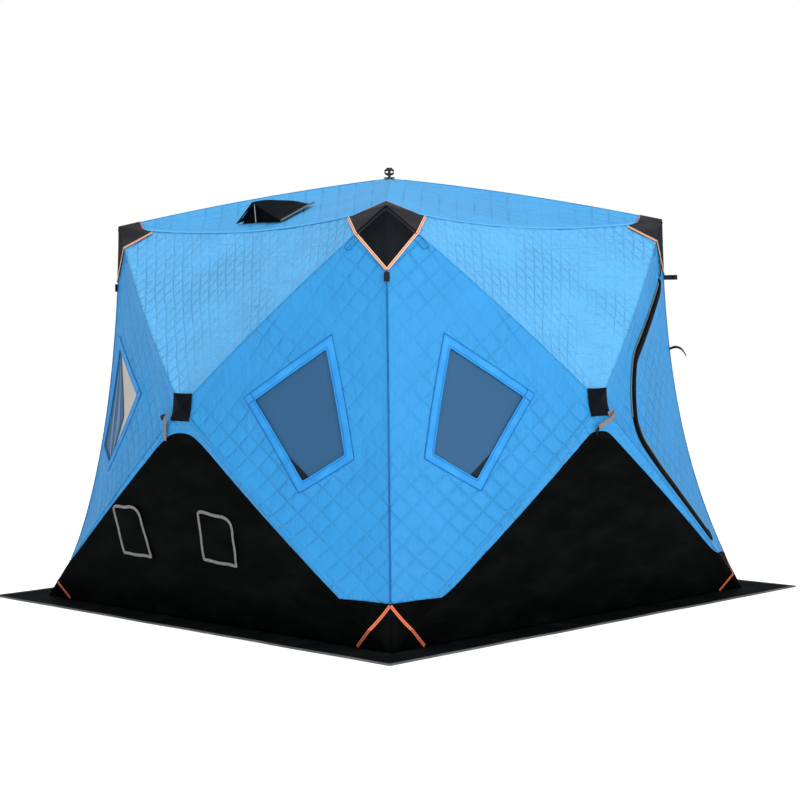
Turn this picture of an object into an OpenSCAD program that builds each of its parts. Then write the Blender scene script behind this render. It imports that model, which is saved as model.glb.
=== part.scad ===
// Pop-up ice fishing shelter: a square quilted fabric tent on sprung poles.
// Each wall is pushed outwards at its middle by a hub with four bowed poles,
// and a fifth hub lifts the roof. The shelter has no floor: it stands on the
// ice, and a skirt lies flat around it to be covered with snow.
//
// Frame: +Z up, origin on the ground under the roof hub. The front wall faces
// -Y, the right wall +X, the back wall +Y and the left wall -X. Every wall is
// drawn as the front wall and turned into place. "Left" and "right" of a wall
// are as seen from outside, so +X is the right of the front wall.

/* [Overall] */
// Width of each wall at the ground
base_w = 2380; // [2000:10:2900]
// Width of each wall at the roof corners
top_w = 1916; // [1600:2:2300]
// Height of the roof corners
corner_h = 1850; // [1500:10:2150]
// Height of the fabric at the roof hub
apex_h = 2074; // [2000:2:2500]
// Distance between the tips of opposite wall hubs
hub_span = 2670; // [2400:10:3200]
// Height of the wall hubs
hub_h = 988; // [820:2:1180]

/* [Fabric] */
// Thickness of the quilted wall
wall_t = 5; // [3:0.5:8]
// How far the front right corner seam is pulled in at mid height
seam_sag_front_right = 100; // [40:5:140]
// How far the right back corner seam, beside the door, is pulled in
seam_sag_right_back = 120; // [40:5:140]
// How far the back left corner seam is pulled in
seam_sag_back_left = 100; // [40:5:140]
// How far the left front corner seam is pulled in
seam_sag_left_front = 80; // [40:5:140]
// How far the middle of a roof edge is pulled in
eave_pull = 60; // [20:5:120]
// How far the middle of a roof edge hangs below its ends
eave_drop = 62; // [20:2:110]
// Height of the black feet where the blue fabric ends
foot_h = 192; // [120:2:260]
// Width of the blue pole sleeve along the base panel
sleeve_w = 48; // [25:1:80]
// Distance from the wall hub down to the rounded top of the base panel
base_top_drop = 133; // [90:1:200]
// Half width of the top of the base panel
base_top_half = 90; // [50:1:150]
// Width of the snow skirt
skirt_w = 230; // [120:5:400]
// Thickness of the skirt with its bound edge
skirt_t = 3; // [2:0.5:5]
// Room between two neighbouring fabric pieces
seam_gap = 0.4; // [0.2:0.1:0.8]

/* [Poles and hubs] */
// Diameter of the glass fibre poles
pole_d = 11; // [8:0.2:13.2]
// Outward bow of a wall pole at its middle
pole_bow = 28; // [5:1:50]
// Upward bow of a roof pole at its middle
roof_bow = 18; // [5:1:40]
// Room between the inside of the fabric and the sockets of the poles
pole_room = 1.16; // [0.6:0.02:5]
// Wall of the sockets that hold the pole ends
socket_wall = 3; // [2:0.5:4]
// Room between a pole and its socket
socket_gap = 0.4; // [0.2:0.1:0.8]
// Distance from the end of a wall or roof pole's line to where its hub socket begins
hub_root = 22; // [20:1:26]
// Distance from there to where the pole itself begins inside the socket
pole_seat = 26; // [16:1:30]
// Length of a hub socket
hub_socket_l = 76; // [60:1:100]
// Length of a socket at a roof corner or foot
corner_socket_l = 68; // [56:1:90]
// Distance of a pole's end from the corner point
pole_end_gap = 28; // [24:1:40]
// Room between the inside of the fabric and a wall hub
hub_room = 1.38; // [0.8:0.02:5]
// Diameter of a hub body
hub_d = 60; // [48:1:72]
// Thickness of a hub body
hub_t = 24; // [16:1:36]
// Height of the lifting knob on the roof
knob_h = 52; // [30:1:80]
// Diameter of the lifting knob's washer
knob_d = 56; // [36:1:80]

/* [Windows] */
// Thickness of a window pane
pane_t = 1.5; // [1:0.5:3]
// Lap of the pane behind the edge of its opening
pane_lap = 14; // [8:1:20]

/* [Door] */
// Gap between the door and the wall around it
door_gap = 6; // [5:0.5:10]
// Gap along the door's hinge seam
hinge_gap = 0.8; // [0.5:0.1:2]
// Width of the black zip flap along the door's edge
door_trim_w = 40; // [25:1:60]

/* [Patches and webbing] */
// Length of a roof corner cap along the roof edge
cap_edge = 224; // [150:2:300]
// Length of a roof corner cap along its poles
cap_pole = 178; // [120:2:240]
// Length of a roof corner cap down the corner seam
cap_seam = 281; // [180:1:360]
// Thickness of patches and webbing
patch_t = 2; // [1:0.5:3]
// Width of the patch over a wall hub
hub_patch_w = 124; // [90:2:170]
// Height of the patch over a wall hub
hub_patch_h = 146; // [100:2:190]
// Length of the pull strap below a wall hub
strap_l = 180; // [100:5:240]
// Width of straps and guy loops
strap_w = 25; // [15:1:40]
// Length of a guy loop standing out from a corner seam
guy_l = 70; // [40:2:110]
// Room between a guy loop and its seam
guy_root = 0.5; // [0.3:0.1:0.9]
// Lift of a roof corner cap over the fabric beneath it
cap_lift = 1.5; // [1.2:0.1:1.8]
// Lift of the roof vent hood over the fabric beneath it
hood_lift = 2.5; // [2:0.1:3]

/* [Vents] */
// Width of the roof vent hood
hood_w = 300; // [200:5:400]
// Depth of the roof vent hood up the roof
hood_l = 245; // [160:5:320]
// Height of the hood's propped mouth
hood_h = 120; // [70:5:170]
// Place of the hood to the left of the roof's middle
hood_x = -40; // [-150:5:150]
// Distance of the hood's mouth from the middle of the roof edge
hood_inset = 130; // [80:5:200]
// Width of a low air vent in the front wall
vent_w = 225; // [120:5:280]
// Height of a low air vent in the front wall
vent_h = 232; // [140:2:300]
// Height of a low air vent's lower edge
vent_z = 286; // [220:2:400]
// Place of the left low air vent from the wall's middle
vent_left_x = -427; // [-520:1:-200]
// Place of the right low air vent from the wall's middle
vent_right_x = 207; // [130:1:420]

/* [Hidden] */

base = base_w / 2;
top = top_w / 2;
tip = hub_span / 2;

hub = [0, -tip, hub_h];
apex = [0, 0, apex_h];
roof_corner = [top, -top, corner_h];
base_corner = [base, -base, skirt_t];
corner_in = [-1, 1, 0] / sqrt(2);
corner_sag = [seam_sag_front_right, seam_sag_right_back, seam_sag_back_left, seam_sag_left_front];
seam_skew = 0.5;

// All layers of the shell are copies of its outer surface shrunk or grown about
// the heart of the tent, so that every flat panel keeps an even thickness.
heart = [0, 0, hub_h - 90];
side_normal = cross(base_corner - hub, roof_corner - hub);
shell_r = abs((hub - heart) * side_normal) / norm(side_normal);

// Pieces of a curved panel: ribs outwards from the hub, steps along the edge
ribs = 4;
steps = 8;

// Size of the blocks that cut panels, beyond any part of the tent
far = 4000;

BLUE = [0.29, 0.62, 0.87];
BLACK = [0.07, 0.08, 0.09];
GREY = [0.45, 0.45, 0.46];
SLATE = [0.24, 0.41, 0.56];

// ---- The tent's surface ----

function lerp(a, b, f) = a + (b - a) * f;
function hump(f) = 4 * f * (1 - f);
function total(v, i = 0) = i < len(v) ? v[i] + total(v, i + 1) : 0;
function mean(points) = [for (k = [0 : 2]) total([for (p = points) p[k]]) / len(points)];
function layer(depth) = 1 - depth / shell_r;
function at_depth(p, depth) = heart + (p - heart) * layer(depth);

// A point on the corner seam, f from the ground up to the roof corner
function seam(sag, f) =
    lerp(base_corner, roof_corner, f) + corner_in * sag * hump(f) * (1 + seam_skew * (0.5 - f));
function seam_edge(sag) = [for (i = [0 : steps]) seam(sag, i / steps)];

// A point on the front roof edge, f from its left end to its right end
function eave(f) = [top * (2 * f - 1), -top + eave_pull * hump(f), corner_h - eave_drop * hump(f)];
function eave_edge() = [for (i = [0 : steps]) eave(i / steps)];

// A point on the line from a hub to a point on the panel's edge, bowed outwards
function rib(from, to, bow, f) = lerp(from, to, f) + bow * hump(f);
wall_bow = [0, -pole_bow, 0];
roof_lift = [0, 0, roof_bow];
function reversed(v) = [for (i = [len(v) - 1 : -1 : 0]) v[i]];

// A panel that fans out from a hub to a row of edge points, as a shell between two depths.
// The edge runs anticlockwise around the hub as seen from outside.
module fan(from, edge, bow, outer, inner) {
    m = len(edge);
    surface = concat([from], [for (i = [1 : ribs]) for (q = edge) rib(from, q, bow, i / ribs)]);
    n = len(surface);
    centre = at_depth(mean(surface), (outer + inner) / 2);
    trim = 1 - seam_gap / norm(edge[0] - from);
    points = [for (d = [outer, inner]) for (p = surface) centre + (at_depth(p, d) - centre) * trim];
    function at(i, j) = 1 + (i - 1) * m + j;
    skin = concat(
        [for (j = [0 : m - 2]) [0, at(1, j + 1), at(1, j)]],
        [for (i = [1 : ribs - 1]) for (j = [0 : m - 2]) [at(i, j), at(i + 1, j + 1), at(i + 1, j)]],
        [for (i = [1 : ribs - 1]) for (j = [0 : m - 2]) [at(i, j), at(i, j + 1), at(i + 1, j + 1)]]);
    rim = concat(
        [0], [for (i = [1 : ribs]) at(i, 0)],
        [for (j = [1 : m - 1]) at(ribs, j)],
        [for (i = [ribs - 1 : -1 : 1]) at(i, m - 1)]);
    k = len(rim);
    lining = [for (f = skin) [f[0] + n, f[2] + n, f[1] + n]];
    border = [for (i = [0 : k - 1]) [rim[i], rim[(i + 1) % k], rim[(i + 1) % k] + n, rim[i] + n]];
    polyhedron(points = points, faces = concat(skin, lining, border));
}

module turned(wall) {
    rotate([0, 0, 90 * wall]) children();
}

// side is 1 for the right of the wall and -1 for its left
module handed(side) {
    if (side > 0) children();
    else mirror([1, 0, 0]) children();
}

function sag_at(wall, side) = corner_sag[side > 0 ? wall : (wall + 3) % 4];

module side_fan(wall, side, outer, inner) {
    fan(hub, seam_edge(sag_at(wall, side)), wall_bow, outer, inner);
}

module base_fan(outer, inner) {
    ground = [for (i = [0 : steps]) [base * (2 * i / steps - 1), -base, skirt_t]];
    fan(hub, ground, wall_bow, outer, inner);
}

// ---- Outlines drawn on a side panel ----
// x runs from the wall hub towards the corner seam and y up along that seam, in the plane
// through the hub and both corners.
up_dir = (roof_corner - base_corner) / norm(roof_corner - base_corner);
out_dir = side_normal / norm(side_normal);
across_dir = cross(up_dir, out_dir);
seam_x = (roof_corner - hub) * across_dir;
seam_top_y = (roof_corner - hub) * up_dir;
seam_low_y = (base_corner - hub) * up_dir;

// A place on the side panel: a share of the way to the seam, and a share up or down of what
// the panel spans there
function on_side(across, along) =
    [across * seam_x, across * (along > 0 ? along * seam_top_y : -along * seam_low_y)];

// Both outlines run anticlockwise, and the last side of the door's is its hinge seam
window_near_hub = [on_side(0.365, -0.02), on_side(0.58, -0.59), on_side(0.76, -0.33), on_side(0.70, 0.345)];
window_near_seam = [on_side(0.482, -0.03), on_side(0.729, -0.468), on_side(0.882, -0.328), on_side(0.833, 0.274)];
function window_opening(wall, side) = wall == 0 && side < 0 ? window_near_seam : window_near_hub;
door_opening = [on_side(0.912, 0.699), on_side(0.888, 0.717), on_side(0.865, 0.655), on_side(0.51, 0.53), on_side(0.41, 0.46),
    on_side(0.355, 0.06), on_side(0.305, -0.44), on_side(0.325, -0.66), on_side(0.44, -0.81),
    on_side(0.64, -0.875), on_side(0.795, -0.9), on_side(0.85, -0.825)];
door_leaf = grown(door_opening, -door_gap, -hinge_gap);

// The fabric around the door is sewn from four pieces, with seams from these corners of the
// door to the edge of the panel
door_seams = [[door_opening[0], [1.3, 1.6]], [door_opening[4], [0.2, 1.5]],
    [door_opening[7], [0.15, -1.8]], [door_opening[11], [1.05, -1.6]]];
function seam_slit(from, share) =
    let (to = on_side(share[0], share[1]), d = unit(to - from), half = [d[1], -d[0]] * seam_gap / 2)
        [from - d * door_gap - half, from - d * door_gap + half, to + half, to - half];

// A straight cut through a side panel, square to its plane
module side_cut(outline) {
    frame = [
        [across_dir[0], up_dir[0], out_dir[0], hub[0]],
        [across_dir[1], up_dir[1], out_dir[1], hub[1]],
        [across_dir[2], up_dir[2], out_dir[2], hub[2]],
        [0, 0, 0, 1]];
    multmatrix(frame) translate([0, 0, -hub_span / 10]) linear_extrude(hub_span / 5)
        polygon(outline);
}

// An outline moved outwards by a distance at every side; it runs anticlockwise
function unit(v) = v / norm(v);
function outward(a, b) = let (d = unit(b - a)) [d[1], -d[0]];
function corner_shift(a, b, c, grow_ab, grow_bc) =
    let (p = outward(a, b), q = outward(b, c), pq = p * q)
        b + (p * (grow_ab - grow_bc * pq) + q * (grow_bc - grow_ab * pq)) / (1 - pq * pq);
// last is the move of the side from the last point back to the first
function grown(outline, grow, last) =
    let (n = len(outline))
        [for (i = [0 : n - 1]) corner_shift(outline[(i + n - 1) % n], outline[i], outline[(i + 1) % n],
            i == 0 ? last : grow, i == n - 1 ? last : grow)];

// Every side panel has a window but the one with the door
function has_window(wall, side) = !(wall == 1 && side > 0);

module above_foot() {
    translate([-far, -far, foot_h + seam_gap / 2]) cube([2 * far, 2 * far, far]);
}

module below_foot() {
    translate([-far, -far, -far]) cube([2 * far, 2 * far, far + foot_h - seam_gap / 2]);
}

// ---- Fabric ----

module side_panel(wall, side) {
    color(BLUE) turned(wall) handed(side) difference() {
        intersection() {
            side_fan(wall, side, 0, wall_t);
            above_foot();
        }
        if (has_window(wall, side)) side_cut(window_opening(wall, side));
        else {
            side_cut(door_opening);
            for (s = door_seams) side_cut(reversed(seam_slit(s[0], s[1])));
        }
    }
}

module wall_top(wall) {
    color(BLUE) turned(wall) fan(hub, reversed(eave_edge()), wall_bow, 0, wall_t);
}

module roof_panel(wall) {
    color(BLUE) turned(wall) fan(apex, eave_edge(), roof_lift, 0, wall_t);
}

// The outline of the black base panel on the wall, seen from the front
function fold_x(z) = base * (hub_h - z) / (hub_h - skirt_t);
base_top_z = hub_h - base_top_drop;
sleeve_run = sleeve_w / sin(atan2(hub_h, base));
function base_outline(grow) = [
    [-base - far, -far], [base + far, -far], [base + far, foot_h + grow],
    [fold_x(foot_h) - sleeve_run / 2, foot_h + grow],
    [fold_x(foot_h) - sleeve_run, foot_h + sleeve_w / 2 + grow],
    [base_top_half + grow, base_top_z - sleeve_w / 2 + grow],
    [base_top_half / 2, base_top_z + grow],
    [-base_top_half / 2, base_top_z + grow],
    [-base_top_half - grow, base_top_z - sleeve_w / 2 + grow],
    [-fold_x(foot_h) + sleeve_run, foot_h + sleeve_w / 2 + grow],
    [-fold_x(foot_h) + sleeve_run / 2, foot_h + grow],
    [-base - far, foot_h + grow]];

module base_cut(grow) {
    rotate([90, 0, 0]) linear_extrude(hub_span) polygon(base_outline(grow));
}

module wall_base(wall) {
    color(BLACK) turned(wall) intersection() {
        base_fan(0, wall_t);
        base_cut(0);
    }
}

module pole_sleeve(wall) {
    color(BLUE) turned(wall) difference() {
        base_fan(0, wall_t);
        base_cut(seam_gap);
    }
}

module corner_feet() {
    color(BLACK) for (wall = [0 : 3], side = [-1, 1])
        turned(wall) handed(side) intersection() {
            side_fan(wall, side, 0, wall_t);
            below_foot();
        }
}

module snow_skirt() {
    inner = base - wall_t - 1;
    outer = base + skirt_w;
    mitre = seam_gap / 2;
    color(BLACK) for (wall = [0 : 3]) turned(wall) linear_extrude(skirt_t - seam_gap)
        polygon([[-outer + mitre, -outer], [outer - mitre, -outer],
            [inner - mitre, -inner], [-inner + mitre, -inner]]);
}

module window_panes() {
    lining = wall_t + seam_gap;
    color(SLATE) for (wall = [0 : 3], side = [-1, 1])
        if (has_window(wall, side))
            turned(wall) handed(side) intersection() {
                side_fan(wall, side, lining, lining + pane_t);
                side_cut(grown(window_opening(wall, side), pane_lap, pane_lap));
            }
}

module door_panel() {
    color(BLUE) turned(1) intersection() {
        side_fan(1, 1, 0, wall_t);
        side_cut(door_leaf);
    }
}

module door_zip_flap() {
    color(BLACK) turned(1) difference() {
        intersection() {
            side_fan(1, 1, -seam_gap - patch_t, -seam_gap);
            side_cut(door_leaf);
        }
        side_cut(grown(door_leaf, -door_trim_w, far));
    }
}

// ---- Frame ----

// A straight round rod between two points
module rod(from, to, d) {
    run = to - from;
    translate(from) rotate([0, acos(run[2] / norm(run)), atan2(run[1], run[0])])
        cylinder(h = norm(run), d = d, $fn = 32);
}

// A round rod between two points that bows towards a direction by a given height
module bowed_rod(from, to, towards, bow, d) {
    chord = to - from;
    span = norm(chord);
    radius = span * span / (8 * bow) + bow / 2;
    half_angle = asin(span / 2 / radius);
    x_dir = chord / span;
    lift = towards - x_dir * (towards * x_dir);
    y_dir = lift / norm(lift);
    z_dir = cross(y_dir, x_dir);
    centre = (from + to) / 2 + y_dir * (bow - radius);
    frame = [
        [y_dir[0], x_dir[0], z_dir[0], centre[0]],
        [y_dir[1], x_dir[1], z_dir[1], centre[1]],
        [y_dir[2], x_dir[2], z_dir[2], centre[2]],
        [0, 0, 0, 1]];
    multmatrix(frame) rotate([0, 0, -half_angle])
        rotate_extrude(angle = 2 * half_angle, $fn = 720) translate([radius, 0]) circle(d = d, $fn = 32);
}

// Where a pole's axis lies, f from the hub to the corner
function pole_point(from, to, bow, f) = at_depth(rib(from, to, bow, f), pole_depth);

socket_d = pole_d + 2 * socket_gap + 2 * socket_wall;

// A layer is thinnest where its panel passes closest to the heart, so the sockets take their
// room there
function panel_r(a, b, c) = abs((a - heart) * unit(cross(b - a, c - a)));
by_corner = eave(1 - 1 / steps);
nearest_r = min(shell_r, panel_r(hub, roof_corner, by_corner), panel_r(apex, roof_corner, by_corner));
pole_depth = wall_t + (pole_room + socket_d / 2) * shell_r / nearest_r;

// A length along a pole's line as a share of the line
function share(from, to, l) = l / norm(to - from);
function start_share(from, to) = share(from, to, hub_root + pole_seat);
function end_share(from, to) = 1 - share(from, to, pole_end_gap);

module pole(from, to, bow) {
    f = start_share(from, to);
    g = end_share(from, to);
    a = pole_point(from, to, bow, f);
    b = pole_point(from, to, bow, g);
    across_pole = bow - unit(b - a) * (bow * unit(b - a));
    bowed_rod(a, b, bow, norm(across_pole) * layer(pole_depth) * (g - f) * (g - f), pole_d);
}

module hub_socket_body(from, to, bow) {
    rod(pole_point(from, to, bow, share(from, to, hub_root)),
        pole_point(from, to, bow, share(from, to, hub_root + hub_socket_l)), socket_d);
}

module hub_socket_bore(from, to, bow) {
    a = pole_point(from, to, bow, start_share(from, to));
    b = pole_point(from, to, bow, share(from, to, hub_root + hub_socket_l));
    rod(lerp(a, b, -0.02), lerp(a, b, 1.2), pole_d + 2 * socket_gap);
}

module corner_socket_body(from, to, bow) {
    rod(pole_point(from, to, bow, 1), pole_point(from, to, bow, 1 - share(from, to, corner_socket_l)), socket_d);
}

module corner_socket_bore(from, to, bow) {
    a = pole_point(from, to, bow, end_share(from, to));
    b = pole_point(from, to, bow, 1 - share(from, to, corner_socket_l));
    rod(lerp(a, b, -0.02), lerp(a, b, 1.2), pole_d + 2 * socket_gap);
}

function flip(p) = [-p[0], p[1], p[2]];
wall_pole_ends = [roof_corner, flip(roof_corner), base_corner, flip(base_corner)];

module wall_poles(wall) {
    color(GREY) turned(wall) for (end = wall_pole_ends) pole(hub, end, wall_bow);
}

module roof_poles() {
    color(GREY) for (wall = [0 : 3]) turned(wall) pole(apex, roof_corner, roof_lift);
}

module wall_hubs() {
    above = rib(hub, eave(0.5), wall_bow, 1 / ribs) - hub;
    back = wall_t + above[1] / above[2] * hub_d / 2 + hub_room + hub_t;
    color(BLACK) for (wall = [0 : 3]) turned(wall) difference() {
        union() {
            translate([0, -tip + back, hub_h]) rotate([90, 0, 0])
                cylinder(h = hub_t, d = hub_d, $fn = 64);
            for (end = wall_pole_ends) hub_socket_body(hub, end, wall_bow);
        }
        for (end = wall_pole_ends) hub_socket_bore(hub, end, wall_bow);
    }
}

module roof_hub() {
    corners = [for (wall = [0 : 3]) [cos(90 * wall) * top + sin(90 * wall) * top,
        sin(90 * wall) * top - cos(90 * wall) * top, corner_h]];
    below = apex - rib(apex, eave(0.5), roof_lift, 1 / ribs);
    // As deep as the poles, and on a steep roof deep enough for the rim to clear the fabric
    deep = max(pole_depth, wall_t + below[2] / below[1] * hub_d / 2 + hub_room);
    color(BLACK) {
        difference() {
            union() {
                translate([0, 0, apex_h - deep - hub_t]) cylinder(h = hub_t, d = hub_d, $fn = 64);
                for (c = corners) hub_socket_body(apex, c, roof_lift);
            }
            for (c = corners) hub_socket_bore(apex, c, roof_lift);
        }
        translate([0, 0, apex_h + seam_gap]) {
            cylinder(h = 4, d = knob_d, $fn = 48);
            cylinder(h = knob_h - 12, d = 14, $fn = 32);
            translate([0, 0, knob_h - 14]) cylinder(h = 14, d = 30, $fn = 48);
        }
    }
}

// The corner of a wall seen from the wall next to it
function turned_back(p) = [-p[1], p[0], p[2]];

module top_corner_joints() {
    hubs = [hub, turned_back(hub)];
    bows = [wall_bow, turned_back(wall_bow)];
    color(BLACK) for (wall = [0 : 3]) turned(wall) difference() {
        union() {
            translate(at_depth(roof_corner, pole_depth)) sphere(d = socket_d + 2, $fn = 48);
            for (k = [0, 1]) corner_socket_body(hubs[k], roof_corner, bows[k]);
            corner_socket_body(apex, roof_corner, roof_lift);
        }
        for (k = [0, 1]) corner_socket_bore(hubs[k], roof_corner, bows[k]);
        corner_socket_bore(apex, roof_corner, roof_lift);
    }
}

module foot_joints() {
    hubs = [hub, turned_back(hub)];
    bows = [wall_bow, turned_back(wall_bow)];
    ankle = at_depth(base_corner, pole_depth);
    color(BLACK) for (wall = [0 : 3]) turned(wall) difference() {
        union() {
            translate([ankle[0], ankle[1], 0]) cylinder(h = ankle[2], d = socket_d, $fn = 48);
            translate(ankle) sphere(d = socket_d + 2, $fn = 48);
            for (k = [0, 1]) corner_socket_body(hubs[k], base_corner, bows[k]);
        }
        for (k = [0, 1]) corner_socket_bore(hubs[k], base_corner, bows[k]);
        translate([-far, -far, -far]) cube([2 * far, 2 * far, far]);
    }
}

// ---- Patches, vents and webbing ----

// A patch folded over a point, as a thin shell over a ring of points around it;
// the ring runs anticlockwise as seen from outside
module folded_patch(middle, ring, outer, inner) {
    n = len(ring) + 1;
    points = [for (d = [outer, inner]) for (p = concat([middle], ring)) at_depth(p, d)];
    next = function(i) i % (n - 1) + 1;
    skin = [for (i = [1 : n - 1]) [0, next(i), i]];
    lining = [for (f = skin) [f[0] + n, f[2] + n, f[1] + n]];
    border = [for (i = [1 : n - 1]) [i, next(i), next(i) + n, i + n]];
    polyhedron(points = points, faces = concat(skin, lining, border));
}

// Places on the sewn panels, which run straight between their ribs and steps
function on_edge(edge, f) = let (i = min(floor(f * steps), steps - 1)) lerp(edge[i], edge[i + 1], f * steps - i);
function by_end(from, to, bow, f) = lerp(to, rib(from, to, bow, 1 - 1 / ribs), f * ribs);

module corner_caps() {
    pole_share = cap_pole / norm(roof_corner - hub);
    seam_share = cap_seam / norm(roof_corner - base_corner);
    edge_share = cap_edge / top_w;
    ridge = by_end(apex, roof_corner, roof_lift, pole_share);
    front_edge = on_edge(eave_edge(), 1 - edge_share);
    side_edge = turned_back(on_edge(eave_edge(), edge_share));
    front_pole = by_end(hub, roof_corner, wall_bow, pole_share);
    side_pole = by_end(turned_back(hub), roof_corner, turned_back(wall_bow), pole_share);
    color(BLACK) for (wall = [0 : 3]) turned(wall)
        folded_patch(roof_corner,
            [ridge, front_edge, front_pole, on_edge(seam_edge(corner_sag[wall]), 1 - seam_share), side_pole, side_edge],
            -cap_lift - patch_t, -cap_lift);
}

// A place on the wall close to its hub, where the fabric still runs straight from the hub
function by_hub(edge_point, f) = lerp(hub, rib(hub, edge_point, wall_bow, 1 / ribs), f * ribs);

module hub_patches() {
    half = hub_patch_w / 2;
    low = hub_patch_h - half * (corner_h - hub_h) / top;
    upper = by_hub(roof_corner, half / top);
    fold = by_hub(base_corner, half / base);
    foot = by_hub([base * half / low * (hub_h - skirt_t) / base, -base, skirt_t], low / (hub_h - skirt_t));
    color(BLACK) for (wall = [0 : 3]) turned(wall)
        folded_patch(hub, [upper, flip(upper), flip(fold), flip(foot), foot, fold],
            -2 * seam_gap - patch_t, -2 * seam_gap);
}

module hub_pull_straps() {
    low = hub_h - strap_l;
    color(GREY) for (wall = [0 : 3]) turned(wall) intersection() {
        base_fan(-3 * seam_gap - 2 * patch_t, -3 * seam_gap - patch_t);
        translate([-strap_w, -far, low]) cube([strap_w, far, strap_l]);
    }
}

module guy_loops() {
    seam_l = norm(roof_corner - base_corner);
    // Each loop's sewn edge follows the lean of its seam, and its free end stands upright
    function seam_at(wall, l) = let (p = on_edge(seam_edge(corner_sag[wall]), 1 - l / seam_l)) [norm([p[0], p[1]]), p[2]];
    color(BLACK) for (wall = [0 : 3])
        let (upper = seam_at(wall, cap_seam), lower = seam_at(wall, cap_seam + strap_w), out = lower[0] + guy_root + guy_l)
            turned(wall) rotate([90, 0, -45]) translate([0, 0, -patch_t / 2]) linear_extrude(patch_t)
                polygon([lower + [guy_root, 0], [out, lower[1]], [out, upper[1]], upper + [guy_root, 0]]);
}

module roof_vent_hood() {
    half = hood_w / 2;
    lift = [0, 0, 2 * patch_t + hood_lift];
    reach = top - eave_pull;
    mouth = 1 - hood_inset / reach;
    back = mouth - hood_l / reach;
    // A place on the front roof panel, f of the way from the roof hub to the edge
    function on_roof(x, f) = rib(apex, eave(0.5 + x / (2 * top * f)), roof_lift, f) + lift;
    corners = [on_roof(hood_x - half, mouth), on_roof(hood_x + half, mouth),
        on_roof(hood_x + half, back), on_roof(hood_x - half, back)];
    peak = on_roof(hood_x, mouth) + [0, -hood_inset / 3, hood_h];
    outside = concat(corners, [peak]);
    points = concat(outside, [for (p = outside) p - [0, 0, 2 * patch_t]]);
    color(BLACK) polyhedron(points = points, faces = [
        [4, 2, 1], [4, 3, 2], [4, 0, 3],
        [9, 6, 7], [9, 7, 8], [9, 8, 5],
        [1, 2, 7, 6], [2, 3, 8, 7], [3, 0, 5, 8], [0, 4, 9, 5], [4, 1, 6, 9]]);
}

module front_air_vents() {
    color(GREY) for (x = [vent_left_x, vent_right_x]) intersection() {
        base_fan(-seam_gap - patch_t, -seam_gap);
        translate([x - vent_w / 2, -far, vent_z]) cube([vent_w, far, vent_h]);
    }
}

wall_top(0);  // front_wall_top
wall_top(1);  // right_wall_top
wall_top(2);  // back_wall_top
wall_top(3);  // left_wall_top
side_panel(0, -1);  // front_wall_left_side
side_panel(0, 1);  // front_wall_right_side
side_panel(1, -1);  // right_wall_left_side
side_panel(1, 1);  // right_wall_right_side
side_panel(2, -1);  // back_wall_left_side
side_panel(2, 1);  // back_wall_right_side
side_panel(3, -1);  // left_wall_left_side
side_panel(3, 1);  // left_wall_right_side
wall_base(0);  // front_wall_base
wall_base(1);  // right_wall_base
wall_base(2);  // back_wall_base
wall_base(3);  // left_wall_base
pole_sleeve(0);  // front_pole_sleeve
pole_sleeve(1);  // right_pole_sleeve
pole_sleeve(2);  // back_pole_sleeve
pole_sleeve(3);  // left_pole_sleeve
roof_panel(0);  // front_roof
roof_panel(1);  // right_roof
roof_panel(2);  // back_roof
roof_panel(3);  // left_roof
wall_poles(0);  // front_wall_poles
wall_poles(1);  // right_wall_poles
wall_poles(2);  // back_wall_poles
wall_poles(3);  // left_wall_poles
roof_poles();
wall_hubs();
roof_hub();
top_corner_joints();
foot_joints();
corner_caps();
corner_feet();
snow_skirt();
window_panes();
door_panel();
door_zip_flap();
roof_vent_hood();
front_air_vents();
hub_patches();
hub_pull_straps();
guy_loops();
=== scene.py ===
# %% [markdown]
# # A pop-up ice fishing shelter
# The shelter is a square tent of quilted cloth. Each wall is pushed outwards at its middle by a
# hub with four sprung poles, and a fifth hub lifts the roof. The frame below is the packed
# construction model: its poles, hubs and joints keep their shape, and everything made of cloth is
# built again here as curved, sewn cloth. It stays in the same place, so nothing has to be fitted.

# %% Load the frame
import math

import bmesh
import bpy
import numpy as np
from mathutils import Matrix, Vector


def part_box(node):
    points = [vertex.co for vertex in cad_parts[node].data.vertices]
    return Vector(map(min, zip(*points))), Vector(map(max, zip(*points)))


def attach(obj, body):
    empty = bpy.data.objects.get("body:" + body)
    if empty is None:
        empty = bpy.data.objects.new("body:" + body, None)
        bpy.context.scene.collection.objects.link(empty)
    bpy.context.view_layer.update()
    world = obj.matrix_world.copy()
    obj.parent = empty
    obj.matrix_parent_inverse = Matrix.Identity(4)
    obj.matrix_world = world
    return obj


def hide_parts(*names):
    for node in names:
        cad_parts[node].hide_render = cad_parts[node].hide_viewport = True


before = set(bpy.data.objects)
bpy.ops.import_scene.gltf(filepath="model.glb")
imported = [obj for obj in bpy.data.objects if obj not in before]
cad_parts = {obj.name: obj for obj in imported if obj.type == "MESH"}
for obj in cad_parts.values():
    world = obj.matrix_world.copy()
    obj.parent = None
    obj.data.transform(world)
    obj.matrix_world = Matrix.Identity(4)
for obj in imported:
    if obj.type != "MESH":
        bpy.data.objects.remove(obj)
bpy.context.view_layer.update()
bpy.ops.object.select_all(action="DESELECT")

# %% [markdown]
# ## The camera and the light
# The camera comes first, so that each piece can be judged as soon as it is made. It stands a
# little below the roof edge, about eight metres from the near corner, and looks slightly down.
# The roll is a turn about the camera's own line of sight, so it is added last.

# %% Camera
camera_place = Vector((6.54575, -6.39381, 1.33540))
camera_view = Vector((-0.711799, 0.701201, -0.040240))
camera_roll = -0.0129
lens_mm, sensor_mm = 82.195, 36

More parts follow.
